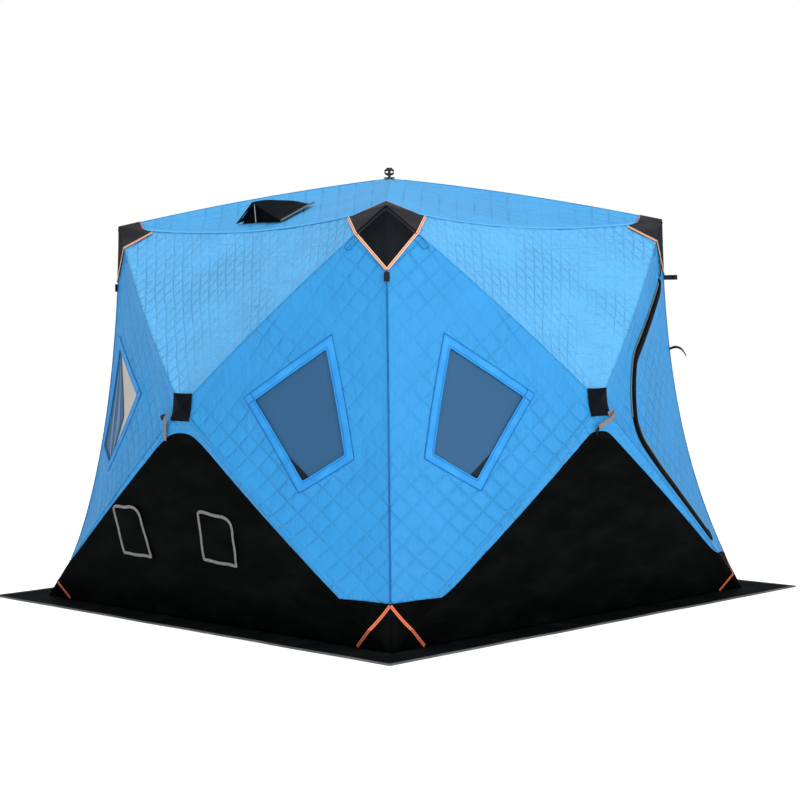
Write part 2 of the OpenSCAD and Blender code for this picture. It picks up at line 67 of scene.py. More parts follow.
camera = bpy.data.objects.new("camera", bpy.data.cameras.new("camera"))
bpy.context.scene.collection.objects.link(camera)
camera.data.lens, camera.data.sensor_width = lens_mm, sensor_mm
camera.data.clip_end = 200
aim = camera_view.to_track_quat("-Z", "Y").to_matrix().to_4x4()
camera.matrix_world = Matrix.Translation(camera_place) @ aim @ Matrix.Rotation(camera_roll, 4, "Z")
bpy.context.scene.camera = camera
print("camera stands at", [round(x, 2) for x in camera_place])

# %% [markdown]
# ## One way to write finishes
# A finish is a net of nodes. Wiring nodes by hand hides the idea behind dozens of lines, so one
# small class holds a socket and turns Python sums into Math nodes. A second class holds the
# finish and makes every other node with one method. Patterns then read like arithmetic.

# %% A socket that can be added up
class Wire:
    def __init__(self, tree, socket):
        self.tree, self.socket = tree, socket

    def math(self, operation, *others):
        node = self.tree.nodes.new("ShaderNodeMath")
        node.operation = operation
        for slot, value in zip(node.inputs, (self, *others)):
            if isinstance(value, Wire):
                self.tree.links.new(value.socket, slot)
            else:
                slot.default_value = value
        return Wire(self.tree, node.outputs[0])

    def __add__(self, other):
        return self.math("ADD", other)

    def __sub__(self, other):
        return self.math("SUBTRACT", other)

    def __rsub__(self, other):
        return (self * -1) + other

    def __mul__(self, other):
        return self.math("MULTIPLY", other)

    __radd__, __rmul__ = __add__, __mul__


# %% A finish with its shader
class Finish:
    def __init__(self, name, **constants):
        self.material = bpy.data.materials.new(name)
        self.material.use_nodes = True
        self.tree = self.material.node_tree
        self.shader = self.tree.nodes["Principled BSDF"]
        for socket, value in constants.items():
            self.shader.inputs[socket.replace("_", " ")].default_value = value

    def node(self, kind, output=0, values=None, **settings):
        made = self.tree.nodes.new("ShaderNode" + kind)
        for name, value in settings.items():
            setattr(made, name, value)
        for socket, value in (values or {}).items():
            if isinstance(value, Wire):
                self.tree.links.new(value.socket, made.inputs[socket])
            else:
                made.inputs[socket].default_value = value
        return Wire(self.tree, made.outputs[output])

    def feed(self, socket, wire):
        self.tree.links.new(wire.socket, self.shader.inputs[socket])

    def blend(self, factor, first, second):
        both = {6: (*first, 1), 7: (*second, 1)}
        return self.node("Mix", 2, {0: factor, **both}, data_type="RGBA")

    def step(self, value, low, high):
        return self.node("MapRange", 0, {0: value, 1: low, 2: high}, interpolation_type="SMOOTHSTEP")

    def noise(self, where, scale, detail=3.0, roughness=0.5):
        return self.node("TexNoise", 0, {"Vector": where, "Scale": scale, "Detail": detail, "Roughness": roughness})

    def bump(self, height, distance, strength=1.0):
        self.feed("Normal", self.node("Bump", 0, {"Height": height, "Distance": distance, "Strength": strength}))

    def stretched(self, where, along, across, turn=0.0):
        values = {"Vector": where, "Rotation": (0, 0, turn), "Scale": (along, across, 1)}
        return self.node("Mapping", 0, values)


# %% [markdown]
# ## Quilted cloth
# The walls are two layers of woven polyester with wadding between them, sewn together along
# slanting lines. The sewing pulls the cloth into shallow puffs, and the coated face shows fine
# crinkles where it is stretched over the poles. The large puffs are real shape, made further
# down. What is finer than a finger is a bump: the stitched lines, the crinkles and the weave.
# All of it lies on the cloth's own map, in metres, so that the pattern follows the sewing.

# %% Quilted finish
def quilted(name, colour, shade, pitch, crinkle, turn, squeeze=1.0):
    finish = Finish(name, Roughness=0.5, Specular_IOR_Level=0.2)
    cloth = finish.node("UVMap", 0, uv_map="cloth")
    slanted = finish.stretched(finish.stretched(cloth, squeeze, 1), 1, 1, math.radians(45))
    lines = finish.node("SeparateXYZ", 0, {0: slanted})
    across = Wire(finish.tree, lines.socket.node.outputs[1])
    near_line = lines.math("PINGPONG", pitch / 2).math("MINIMUM", across.math("PINGPONG", pitch / 2))
    shown = finish.step(finish.noise(cloth, 2.3, 2.0), 0.38, 0.66) * 0.75 + 0.25
    stitch = (1 - finish.step(near_line, 0.0006, 0.0040)) * shown
    valley = (1 - finish.step(near_line, 0.0, pitch * 0.2)) * shown
    crinkles = finish.noise(finish.stretched(cloth, 46, 7, turn), 1.0, 4.0, 0.62)
    patches = finish.noise(cloth, 3.4, 3.0)
    weave = finish.noise(cloth, 620, 1.0)
    folds = finish.noise(finish.stretched(cloth, 15, 4, turn + 0.5), 1.0, 2.0)
    height = crinkles * crinkle + folds * (1.3 * crinkle) + weave * 0.04 - stitch * 0.30 - valley * 0.50
    finish.bump(height, 0.0075)
    # The colour is lighter on the crinkles (painted highlight) and darker along the stitched lines (painted shade); the
    # patches are the cloth's own uneven tone.
    painted_light_and_patchy_tone = finish.step(crinkles * 0.35 + patches * 0.6 - stitch * 0.20, 0.05, 0.75)
    finish.feed("Base Color", finish.blend(painted_light_and_patchy_tone, shade, colour))
    finish.feed("Roughness", patches * 0.16 + stitch * 0.1 + 0.40)
    return finish.material


def shades(red, green, blue, dark=0.84):
    return (red, green, blue), (red * dark, green * dark, blue * dark)


wall_pitch, top_pitch, roof_pitch = 0.074, 0.044, 0.085  # metres between two lines of stitching
top_squeeze = 0.62  # the upper panels' diamonds are this much narrower
# The top and roof blues are paler than the wall blue: painted sky reflection on the panels that face upwards.
wall_blue = quilted("quilted_wall_blue", *shades(0.027, 0.268, 0.605), wall_pitch, 0.85, 0.6)
top_blue_painted_sky_light = quilted("quilted_top_blue", *shades(0.110, 0.430, 0.80), top_pitch, 2.0, 0.9, top_squeeze)
roof_blue_painted_sky_light = quilted("quilted_roof_blue", *shades(0.064, 0.375, 0.76), roof_pitch, 1.1, 0.2)
print("quilted finishes:", wall_blue.name, top_blue_painted_sky_light.name, roof_blue_painted_sky_light.name)

# %% [markdown]
# ## Plain cloth, webbing and tape
# The base panels, the skirt and the patches are coated black cloth: nearly flat, with painted sheen
# on their creases, where the colour is drawn lighter. Webbing is woven in ribs, so its bump runs
# across the strap. The tapes along the caps are reflective: a peach band with a dark stitched line
# down its middle.

# %% Plain cloth finish
def plain_cloth(name, colour, light, roughness, crease, gloss=0.06):
    finish = Finish(name, Roughness=roughness, Specular_IOR_Level=gloss)
    cloth = finish.node("UVMap", 0, uv_map="cloth")
    creases = finish.noise(finish.stretched(cloth, 9, 4, 0.5), 1.0, 4.0, 0.55)
    weave = finish.noise(cloth, 540, 1.0)
    finish.bump(creases * crease + weave * 0.06, 0.006, 0.7)
    # The second colour is painted sheen: the creases are drawn lighter, as if they caught the light.
    finish.feed("Base Color", finish.blend(finish.step(creases, 0.35, 0.8), colour, light))
    finish.feed("Roughness", creases * 0.2 + (roughness - 0.1))
    return finish.material


base_black = plain_cloth("coated_black_cloth", (0.0012, 0.0016, 0.0015), (0.0042, 0.0050, 0.0048), 0.60, 1.2, 0.010)
skirt_black = plain_cloth("skirt_black_cloth", (0.0030, 0.0036, 0.0038), (0.0080, 0.0090, 0.0096), 0.7, 1.2, 0.012)
patch_black = plain_cloth("patch_black_cloth", (0.0030, 0.0044, 0.0060), (0.0080, 0.0108, 0.0140), 0.55, 0.7, 0.03)
# The eave strip has the paler blue of the tops and roof: the same painted sky reflection.
eave_blue_painted_sky_light = plain_cloth("eave_blue_cloth", (0.085, 0.385, 0.76), (0.110, 0.430, 0.82), 0.5, 1.0, 0.1)
# This greyer patch finish is painted sheen: the black cap drawn lighter where it faces the sky and on its raised
# ridges.
patch_grey_painted_sheen = plain_cloth("patch_grey_cloth", (0.014, 0.015, 0.017), (0.035, 0.037, 0.040), 0.5, 0.9, 0.06)
lining_grey = plain_cloth("lining_cloth", (0.060, 0.075, 0.095), (0.085, 0.100, 0.120), 0.75, 0.6)
seam_blue = plain_cloth("seam_blue_cloth", (0.010, 0.105, 0.32), (0.016, 0.140, 0.40), 0.6, 0.4)
binding_blue = plain_cloth("binding_blue_cloth", (0.018, 0.235, 0.60), (0.034, 0.300, 0.70), 0.5, 1.6, 0.18)
edge_grey = plain_cloth("skirt_edge_tape", (0.085, 0.087, 0.090), (0.130, 0.132, 0.136), 0.6, 0.5)


# %% Webbing and tape finishes
def webbing(name, colour, light, rib=0.0016):
    finish = Finish(name, Roughness=0.7, Specular_IOR_Level=0.12)
    cloth = finish.node("UVMap", 0, uv_map="cloth")
    along = finish.node("SeparateXYZ", 0, {0: cloth})
    ribs = along.math("PINGPONG", rib / 2) * (2 / rib)
    wear = finish.noise(cloth, 60, 3.0)
    finish.bump(ribs * 0.6 + wear * 0.3, 0.001)
    finish.feed("Base Color", finish.blend(finish.step(ribs * 0.5 + wear * 0.6, 0.2, 0.9), colour, light))
    return finish.material


def reflective(name, band, stripe, width):
    finish = Finish(name, Roughness=0.5, Specular_IOR_Level=0.2)
    cloth = finish.node("UVMap", 0, uv_map="cloth")
    across = Wire(finish.tree, finish.node("SeparateXYZ", 0, {0: cloth}).socket.node.outputs[1])
    middle = 1 - finish.step(across.math("ABSOLUTE"), width * 0.06, width * 0.13)
    glass = finish.noise(cloth, 420, 1.0)
    finish.bump(glass * 0.4 - middle * 0.3, 0.0008)
    finish.feed("Base Color", finish.blend(middle * (glass * 0.5 + 0.6), band, stripe))
    return finish.material


grey_webbing = webbing("grey_webbing", (0.13, 0.125, 0.125), (0.30, 0.29, 0.285))
black_webbing = webbing("black_webbing", (0.008, 0.009, 0.011), (0.022, 0.024, 0.028))
zip_grey = webbing("grey_zip_tape", (0.10, 0.10, 0.10), (0.24, 0.24, 0.24), 0.003)
cap_tape = reflective("cap_reflective_tape", (0.86, 0.44, 0.27), (0.20, 0.055, 0.030), 0.015)
foot_tape = reflective("foot_reflective_tape", (0.72, 0.17, 0.075), (0.16, 0.030, 0.015), 0.012)
piping_tape = reflective("cap_piping_tape", (0.50, 0.20, 0.15), (0.40, 0.14, 0.10), 0.006)
print("plain finishes and tapes are ready")


# %% [markdown]
# ## Window film, poles and mouldings
# A clear window with a slate blue blind behind it reads as one smooth dull surface with a gloss,
# so one sheet stands for both. The poles are drawn glass fibre with lines along them, and the hubs and
# joints are moulded nylon with a fine grain.

# %% Film, pole and moulding finishes
def film(name, colour, light):
    finish = Finish(name, Roughness=0.32, Specular_IOR_Level=0.07)
    cloth = finish.node("UVMap", 0, uv_map="cloth")
    waves = finish.noise(finish.stretched(cloth, 3, 2, 0.3), 1.0, 2.0)
    finish.bump(waves, 0.003, 0.35)
    finish.feed("Base Color", finish.blend(finish.step(waves, 0.3, 0.7), colour, light))
    finish.feed("Roughness", waves * 0.1 + 0.28)
    return finish.material


def moulded(name, colour, light, scale, roughness, relief):
    finish = Finish(name, Roughness=roughness, Specular_IOR_Level=0.25)
    place = finish.node("TexCoord", "Object")
    grain = finish.noise(place, scale, 2.0)
    wear = finish.noise(place, 14, 3.0)
    finish.bump(grain * relief, 0.0006)
    finish.feed("Base Color", finish.blend(finish.step(wear, 0.35, 0.75), colour, light))
    finish.feed("Roughness", wear * 0.18 + (roughness - 0.09))
    return finish.material


slate_film = film("slate_window_film", (0.028, 0.092, 0.190), (0.030, 0.097, 0.198))
pale_film = film("pale_window_film", (0.44, 0.41, 0.37), (0.53, 0.50, 0.46))
fold_film = film("folded_blind", (0.004, 0.006, 0.010), (0.012, 0.018, 0.028))
striped_film = film("striped_blind", (0.085, 0.20, 0.36), (0.15, 0.26, 0.40))
pole_grey = moulded("glass_fibre_pole", (0.46, 0.47, 0.46), (0.56, 0.57, 0.56), 900, 0.35, 0.4)
hub_black = moulded("moulded_black_nylon", (0.012, 0.012, 0.013), (0.028, 0.028, 0.030), 700, 0.48, 0.8)

print("film and mouldings are ready")

# %% [markdown]
# ## The sizes of the shell
# Every place below comes from the construction model. The box of a panel gives the hub's
# height and reach, the roof corners and the ground corners. What a box can't tell, such as how
# far a seam is pulled in, is the same named size as in the construction model, in metres.

# %% Sizes
WALLS = ["front", "right", "back", "left"]
tip = round(-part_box("front_wall_top")[0].y, 3)
hub_z = round(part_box("front_wall_top")[0].z, 3)
corner_z = round(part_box("front_wall_top")[1].z, 3)
top = round(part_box("front_roof")[1].x, 3)
apex_z = round(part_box("front_roof")[1].z, 3)
base = round(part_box("corner_feet")[1].x, 3)
skirt_reach = round(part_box("snow_skirt")[1].x, 3)
foot_z = round(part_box("corner_feet")[1].z, 3) - 0.008
ground_z = 0.003
corner_sag = [0.100, 0.120, 0.100, 0.080]
corner_pull = [0.050, 0.0, 0.050, 0.064]
eave_pull, eave_drop = 0.060, 0.062
wall_bow = np.array([0, -0.028, 0])
roof_lift = np.array([0, 0, 0.018])
cloth_t = 0.005

hub = np.array([0, -tip, hub_z])
apex = np.array([0, 0, apex_z])
roof_corner = np.array([top, -top, corner_z])
base_corner = np.array([base, -base, ground_z])
heart = Vector((0, 0, hub_z - 0.09))
side_square = np.cross(base_corner - hub, roof_corner - hub)
shell_r = abs((hub - np.array(heart)) @ side_square) / np.linalg.norm(side_square)
print("hub", hub, "roof corner", roof_corner, "ground corner", base_corner, "apex", apex_z)


# %% [markdown]
# ## The surface of a panel
# Poles and seams run from a hub to an edge, so each panel is a fan: straight lines from its hub
# to points along its edge, bowed a little outwards. A place on a panel is then two shares, how
# far along its line, and how far along the edge. Working in shares keeps every patch, tape and
# stitch on the cloth, however the cloth is curved. A patch that is drawn flat first, such as a
# window, is put back on the curve by asking for its shares. Layers are grown or shrunk about one
# point inside the tent, so two panels that meet at a fold still meet when both are lifted.

# %% Lines of the shell
def hump(f):
    return 4 * f * (1 - f)


def seam_line(sag, pull=0.0):
    def at(s):
        tight = (1 - np.exp(-s / 0.075)) * (1 - s) ** 0.8
        pulled = sag * hump(s) * (1 + 0.5 * (0.5 - s)) + pull * tight
        return base_corner + (roof_corner - base_corner) * s + np.array([-1, 1, 0]) / math.sqrt(2) * pulled

    return at


def eave_line(s):
    x = top * (2 * s - 1)
    return np.concatenate([x, eave_pull * hump(s) - top, corner_z - eave_drop * hump(s)], axis=-1)


def ground_line(s):
    return np.concatenate([base * (2 * s - 1), 0 * s - base, 0 * s + ground_z], axis=-1)


# %% A panel
class Panel:
    def __init__(self, wall, side, start, edge, bow):
        self.wall, self.side, self.start, self.edge, self.bow = wall, side, start, edge, bow
        ends = [edge(np.array([s])) for s in (0.0, 1.0)]
        self.up = (ends[1] - ends[0]) / np.linalg.norm(ends[1] - ends[0])
        square = np.cross(ends[0] - start, ends[1] - start)
        self.out = square / np.linalg.norm(square)
        self.out = self.out if self.out @ (start - np.array(heart)) > 0 else -self.out
        self.across = np.cross(self.up, self.out)
        self.across = self.across if self.across @ (ends[0] - start) > 0 else -self.across
        self.shares_of = np.linspace(0, 1, 401)
        self.ends = self.flat(self.edge(self.shares_of.reshape(-1, 1)))

    def front(self, f, s):
        f, s = (np.asarray(x, float).reshape(-1, 1) for x in (f, s))
        return self.start + (self.edge(s) - self.start) * f + self.bow * hump(f)

    def turned(self, points):
        points = np.array(points, float).reshape(-1, 3)
        points[:, 0] *= self.side
        turn = math.radians(90 * self.wall)
        spin = np.array([[math.cos(turn), math.sin(turn), 0], [-math.sin(turn), math.cos(turn), 0], [0, 0, 1]])
        return points @ spin

    def lifted(self, f, s, lift=0.0):
        away = self.front(f, s) - np.array(heart)
        return self.turned(np.array(heart) + away * (1 + np.reshape(lift, (-1, 1)) / shell_r))

    def flat(self, points):
        away = np.asarray(points) - self.start
        return np.stack([away @ self.across, away @ self.up], axis=-1)

    def shares(self, flat):
        angles, reach = np.arctan2(*self.ends.T[::-1]), np.hypot(*self.ends.T)
        lean, f = np.array([self.bow @ self.across, self.bow @ self.up]), 0.5
        for _ in range(9):
            aimed = np.reshape(flat, (-1, 2)) - lean * np.reshape(hump(f), (-1, 1))
            s = np.interp(np.arctan2(*aimed.T[::-1]), angles, self.shares_of)
            f = np.hypot(*aimed.T) / np.interp(s, self.shares_of, reach)
        return f, s

    def placed(self, flat, lift=0.0):
        return self.lifted(*self.shares(flat), lift)


def side_panel(wall, side):
    corner = wall if side > 0 else (wall + 3) % 4
    return Panel(wall, side, hub, seam_line(corner_sag[corner], corner_pull[corner]), wall_bow)


def top_panel(wall):
    return Panel(wall, 1, hub, eave_line, wall_bow)


def base_panel(wall, side=1):
    return Panel(wall, side, hub, ground_line, wall_bow)


def roof_panel(wall):
    return Panel(wall, 1, apex, eave_line, roof_lift)


print("a side panel spans", np.round(side_panel(0, 1).flat([base_corner, roof_corner]), 3).tolist())


# %% [markdown]
# ## From shares to cloth
# A piece of cloth is a net of small triangles. Near its hub a fan is narrow, so each row of the
# net has one triangle more than the row before, which keeps them all about as big. The net gets
# its map in metres, and then its thickness, with the lining as a second finish on the inside.

# %% The net of a fan
def fan_net(rows):
    f, s, faces = [0.0], [0.5], []
    for i in range(1, rows + 1):
        f += [i / rows] * (i + 1)
        s += [j / i for j in range(i + 1)]
    for i in range(rows):
        here, there = i * (i + 1) // 2, (i + 1) * (i + 2) // 2
        for j in range(i + 1):
            faces.append((here + j, there + j, there + j + 1))
            if j < i:
                faces.append((here + j, there + j + 1, here + j + 1))
    return np.array(f), np.array(s), faces


def quads(n, rows):
    """The faces between rows of n places each."""
    return [(r * n + i, r * n + i + 1, (r + 1) * n + i + 1, (r + 1) * n + i) for r in range(rows) for i in range(n - 1)]


def strip_net(columns, rows):
    u, v = np.meshgrid(np.linspace(0, 1, columns + 1), np.linspace(0, 1, rows + 1))
    return u.ravel(), v.ravel(), quads(columns + 1, rows)


# %% [markdown]
# The relief of the quilting goes inwards only, so that patches and tapes can lie on the tops of
# the puffs. It fades out towards the seams, where the real cloth is sewn flat.

# %% Puffs
def ping(x, half):
    return half - np.abs(np.mod(x, 2 * half) - half)


def near_outline(outline, points):
    nearest = np.full(len(points), 9.0)
    for a, b in zip(outline, np.roll(outline, -1, axis=0)):
        run = b - a
        t = np.clip((points - a) @ run / (run @ run), 0, 1).reshape(-1, 1)
        nearest = np.minimum(nearest, np.linalg.norm(points - a - run * t, axis=1))
    return nearest


def quilt_relief(panel, f, s, pitch, depth, dent=0.003, calm=(), dented_from=None, squeeze=1.0):
    flat = panel.flat(panel.front(f, s))
    u, v = flat.T
    a, b = (u * squeeze + v) / math.sqrt(2), (v - u * squeeze) / math.sqrt(2)
    puff = np.minimum(ping(a, pitch / 2), ping(b, pitch / 2)) / (pitch / 2)
    waves = np.sin(u * 17 + 1.3 * np.sin(v * 9)) * np.sin(v * 13 + 1.1 * np.sin(u * 11) + 0.7)
    to_edge = np.minimum(1 - f, np.minimum(s, 1 - s) * f) * 1.4
    fade = np.clip(to_edge / 0.05, 0, 1)
    shown = 0.3 + 0.7 * (0.5 + 0.5 * np.sin(u * 5.3 + 2.1) * np.sin(v * 4.1 + 0.6))
    for outline in calm:
        fade = fade * np.clip((near_outline(outline, flat) - 0.048) / 0.03, 0, 1)
    drawn = 0
    if dented_from is not None:
        away = flat - dented_from
        reach, angle = np.hypot(*away.T), np.arctan2(away[:, 1], away[:, 0])
        rays = 0.5 + 0.5 * np.sin(angle * 15 + 2 * np.sin(reach * 19))
        drawn = 0.0060 * np.exp(-reach / 0.17) * rays * np.clip(reach / 0.05, 0, 1)
    return -fade * (depth * shown * (1 - puff) ** 1.6 + dent * (0.5 + 0.5 * waves) + drawn)


# %% A piece of cloth
def select_only(piece):
    bpy.ops.object.select_all(action="DESELECT")
    piece.select_set(True)
    bpy.context.view_layer.objects.active = piece


def thicken(piece, thickness, offset, second=0):
    modifier = piece.modifiers.new("thickness", "SOLIDIFY")
    modifier.thickness, modifier.offset, modifier.material_offset = thickness, offset, second
    select_only(piece)
    bpy.ops.object.modifier_apply(modifier=modifier.name)


def cut_size(mesh):
    """Area and extents of a cloth's flat map, in metres: what it is cut to before it is sewn."""
    spots, starts = np.empty(2 * len(mesh.loops)), np.empty(len(mesh.polygons), np.int32)
    mesh.uv_layers["cloth"].data.foreach_get("uv", spots)
    mesh.polygons.foreach_get("loop_start", starts)
    spots = spots.reshape(-1, 2)
    following = np.arange(len(spots)) + 1
    following[np.append(starts[1:], len(spots)) - 1] = starts
    turns = spots[:, 0] * spots[following, 1] - spots[following, 0] * spots[:, 1]
    return float(np.abs(np.add.reduceat(turns, starts)).sum() / 2), np.ptp(spots, axis=0)


def joined(parts):
    bm = bmesh.new()
    layer = bm.loops.layers.uv.new("cloth")
    for points, faces, flat in parts:
        verts = [bm.verts.new(p) for p in points]
        for corners in faces:
            face = bm.faces.new([verts[i] for i in corners])
            face.smooth = True
            for loop, i in zip(face.loops, corners):
                loop[layer].uv = flat[i]
    return bm


def object_of(name, bm, finishes):
    mesh = bpy.data.meshes.new(name)
    bm.to_mesh(mesh)
    bm.free()
    piece = bpy.data.objects.new(name, mesh)
    bpy.context.scene.collection.objects.link(piece)
    for finish in finishes:
        mesh.materials.append(finish)
    return piece


def sewn(name, parts, finishes, body="shelter", slot=None, nodes=(), thickness=0.0012, inwards=False, cut=()):
    """Cloth from one or more parts, cut, turned outwards and given its thickness."""
    bm = joined(parts)
    for step in cut:
        step(bm)
    bmesh.ops.remove_doubles(bm, verts=bm.verts, dist=0.0004 if len(parts) > 1 else 0.000001)
    bm.normal_update()
    for face in bm.faces:
        if face.normal.dot(face.calc_center_median() - heart) < 0:
            face.normal_flip()
        face.smooth = True
    piece = object_of(name, bm, finishes)
    flat_area, extent = cut_size(piece.data)
    thicken(piece, thickness, -1 if inwards else 1, len(finishes) - 1)
    if len(parts) > 1:
        bpy.ops.object.shade_smooth_by_angle(angle=math.radians(24))
    piece["flat_area"], piece["flat_extent"] = flat_area, [float(x) for x in extent]
    if nodes:
        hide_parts(*nodes)
    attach(piece, body)
    return piece


# %% [markdown]
# ## Drawing on a panel
# Windows, the door and the black base are drawn flat and cut out of the net. A cut splits the
# triangles that a line crosses and then drops the ones on its far side, so the edge is clean
# whatever way the net runs. Corners are rounded first, since a sewn corner is never sharp.

# %% Outlines
def unit(v):
    return v / np.linalg.norm(v)


def grown(outline, grow, last):
    outline, moved = np.asarray(outline, float), []
    n = len(outline)
    for i in range(n):
        a, b, c = outline[i - 1], outline[i], outline[(i + 1) % n]
        p, q = ((d[1], -d[0]) for d in (unit(b - a), unit(c - b)))
        p, q = np.array(p), np.array(q)
        before, after = last if i == 0 else grow, last if i == n - 1 else grow
        moved.append(b + (p * (before - after * (p @ q)) + q * (after - before * (p @ q))) / (1 - (p @ q) ** 2))
    return np.array(moved)


def rounded(outline, radius, straight=1, bend=5, closed=True):
    outline, n, bends = np.asarray(outline, float), len(outline), []
    for i in range(n):
        a, b, c = outline[i - 1], outline[i], outline[(i + 1) % n]
        reach = radius if isinstance(radius, float) else radius[i]
        if not closed and i in (0, n - 1):
            bends.append(np.repeat(b.reshape(1, 2), 2, axis=0))
            continue
        start = b + unit(a - b) * min(reach, 0.45 * np.linalg.norm(a - b))
        end = b + unit(c - b) * min(reach, 0.45 * np.linalg.norm(c - b))
        t = np.linspace(0, 1, bend).reshape(-1, 1)
        bends.append((1 - t) ** 2 * start + 2 * t * (1 - t) * b + t * t * end)
    points = []
    for i in range(n):
        points.extend(bends[i])
        if closed or i < n - 1:
            t = np.linspace(0, 1, straight + 1)[1:-1].reshape(-1, 1)
            points.extend(bends[i][-1] * (1 - t) + bends[(i + 1) % n][0] * t)
    points = np.array(points)
    keep = np.linalg.norm(points - np.roll(points, 1, axis=0), axis=1) > 1e-5
    keep[0] = True
    return points[keep] if straight == 1 else points


# %% Cutting a net
def within(outline, points):
    x, y = points.T
    hit = np.zeros(len(points), bool)
    for a, b in zip(outline, np.roll(outline, -1, axis=0)):
        left = (b[0] - a[0]) * (y - a[1]) - (x - a[0]) * (b[1] - a[1])
        hit ^= ((a[1] > y) != (b[1] > y)) & ((left > 0) == (b[1] > a[1]))
    return hit


def middles(bm, faces):
    layer = bm.loops.layers.uv["cloth"]
    spots = (sum((loop[layer].uv for loop in face.loops), Vector((0, 0))) / len(face.loops) for face in faces)
    return np.array(list(spots))


def beside(a, b, points, room=0.028):
    along = (points - a) @ unit(b - a)
    off = np.abs((points - a) @ np.array([-(b - a)[1], (b - a)[0]])) / np.linalg.norm(b - a)
    return (along > -room) & (along < np.linalg.norm(b - a) + room) & (off < room)


def cut_out(panel, outline, keep_inside):
    def cut(bm):
        sides = [(a, b) for a, b in zip(outline, np.roll(outline, -1, axis=0)) if np.linalg.norm(b - a) > 1e-6]
        everything = list(bm.faces)
        centres = middles(bm, everything)
        near = np.any([beside(a, b, centres) for a, b in sides], axis=0)
        band = [face for face, close in zip(everything, near) if close]
        for a, b in sides:
            close = beside(a, b, middles(bm, band))
            faces = [face for face, mine in zip(band, close) if mine]
            rest = [face for face, mine in zip(band, close) if not mine]
            edges = list(dict.fromkeys(edge for face in faces for edge in face.edges))
            verts = list(dict.fromkeys(vert for face in faces for vert in face.verts))
            spot = panel.turned(panel.start + panel.across * a[0] + panel.up * a[1])[0]
            square = panel.turned(panel.across * (a - b)[1] + panel.up * (b - a)[0])[0]
            geom = faces + edges + verts
            made = bmesh.ops.bisect_plane(bm, geom=geom, dist=1e-6, plane_co=spot, plane_no=unit(square))
            band = rest + [part for part in made["geom"] if isinstance(part, bmesh.types.BMFace)]
        everything = list(bm.faces)
        dropped = within(outline, middles(bm, everything)) != keep_inside
        bmesh.ops.delete(bm, geom=[face for face, out in zip(everything, dropped) if out], context="FACES")

    return cut


def cut_foot(panel, keep_above):
    """The black foot's upper edge: level at the seam and a little higher at the pole."""
    seam_at = panel.front([1], [foot_z / corner_z])[0]
    pole_at = panel.front([1 - (foot_z + 0.020) / hub_z], [0])[0]
    across = np.cross([1, -1, 0], seam_at - pole_at)
    across = panel.turned(across if across[2] > 0 else -across)[0]

    def cut(bm):
        geom = list(bm.faces) + list(bm.edges) + list(bm.verts)
        sides = {"clear_inner": keep_above, "clear_outer": not keep_above}
        spot = panel.turned(seam_at)[0]
        bmesh.ops.bisect_plane(bm, geom=geom, dist=1e-6, plane_co=spot, plane_no=unit(across), **sides)

    return cut


# %% [markdown]
# ## Bands, ribbons and patches
# Most of the sewing is a band that follows an outline: the edging of a window, a tape, a zip.
# A band has a few rows of quads between two outlines and is a little higher in its middle, which
# gives it the soft round look of folded cloth.

# %% Bands and ribbons
def band(panel, inner, outer, lift, rows=3, crown=0.0, closed=True):
    inner, outer = np.asarray(inner), np.asarray(outer)
    if closed:  # the first place comes again at the end, so that the map doesn't fold back
        inner, outer = np.concatenate([inner, inner[:1]]), np.concatenate([outer, outer[:1]])
    n, points, flat = len(inner), [], []
    middle = (inner + outer) / 2
    steps = np.linalg.norm(np.diff(middle, axis=0), axis=1)
    run, width = np.concatenate([[0], np.cumsum(steps)]), np.linalg.norm(outer - inner, axis=1)
    for r in range(rows + 1):
        t = r / rows
        points.append(panel.placed(inner * (1 - t) + outer * t, lift + crown * hump(t)))
        flat.append(np.stack([run, (t - 0.5) * width], axis=1))
    return np.concatenate(points), quads(n, rows), np.concatenate(flat)


def ribbon(panel, path, width, lift, rows=3, crown=0.0, shift=0.0, closed=False):
    path = np.asarray(path, float)
    ahead = np.roll(path, -1, axis=0) - np.roll(path, 1, axis=0)
    if not closed:
        ahead[0], ahead[-1] = path[1] - path[0], path[-1] - path[-2]
    square = np.stack([ahead[:, 1], -ahead[:, 0]], axis=1) / np.linalg.norm(ahead, axis=1, keepdims=True)
    inner, outer = (path + square * (shift + width * half) for half in (-0.5, 0.5))
    return band(panel, inner, outer, lift, rows, crown, closed)


def even(path, spacing=0.02):
    path = np.asarray(path, float)
    steps = np.linalg.norm(np.diff(path, axis=0), axis=1)
    run = np.concatenate([[0], np.cumsum(steps)])
    at = np.linspace(0, run[-1], max(2, int(run[-1] / spacing) + 1))
    return np.stack([np.interp(at, run, path[:, k]) for k in range(path.shape[1])], axis=1)


# %% Patches
def corner_weights(rows):
    f, s, faces = fan_net(rows)
    return np.stack([1 - f, f * (1 - s), f * s], axis=1), faces


def sector(panel, corners, lift, rows=10):
    """A three cornered patch whose corners are shares of the panel."""
    weights, faces = corner_weights(rows)
    corners = np.asarray(corners, float)
    ends = panel.flat(panel.front(*corners[1:].T))
    depth = 1 - weights[:, 0]
    along = (weights[:, 2] / np.maximum(depth, 1e-9)).reshape(-1, 1)
    outer = np.stack(panel.shares(ends[0] * (1 - along) + ends[1] * along), axis=1)
    outer[along.ravel() < 1e-6], outer[along.ravel() > 1 - 1e-6] = corners[1], corners[2]
    f, s = (corners[0] * (1 - depth.reshape(-1, 1)) + outer * depth.reshape(-1, 1)).T
    return panel.lifted(f, s, lift), faces, panel.flat(panel.front(f, s))


def triangle(panel, corners, lift, rows=10):
    """A three cornered patch whose corners are drawn flat."""
    weights, faces = corner_weights(rows)
    flat = weights @ np.asarray(corners, float)
    return panel.placed(flat, lift), faces, flat


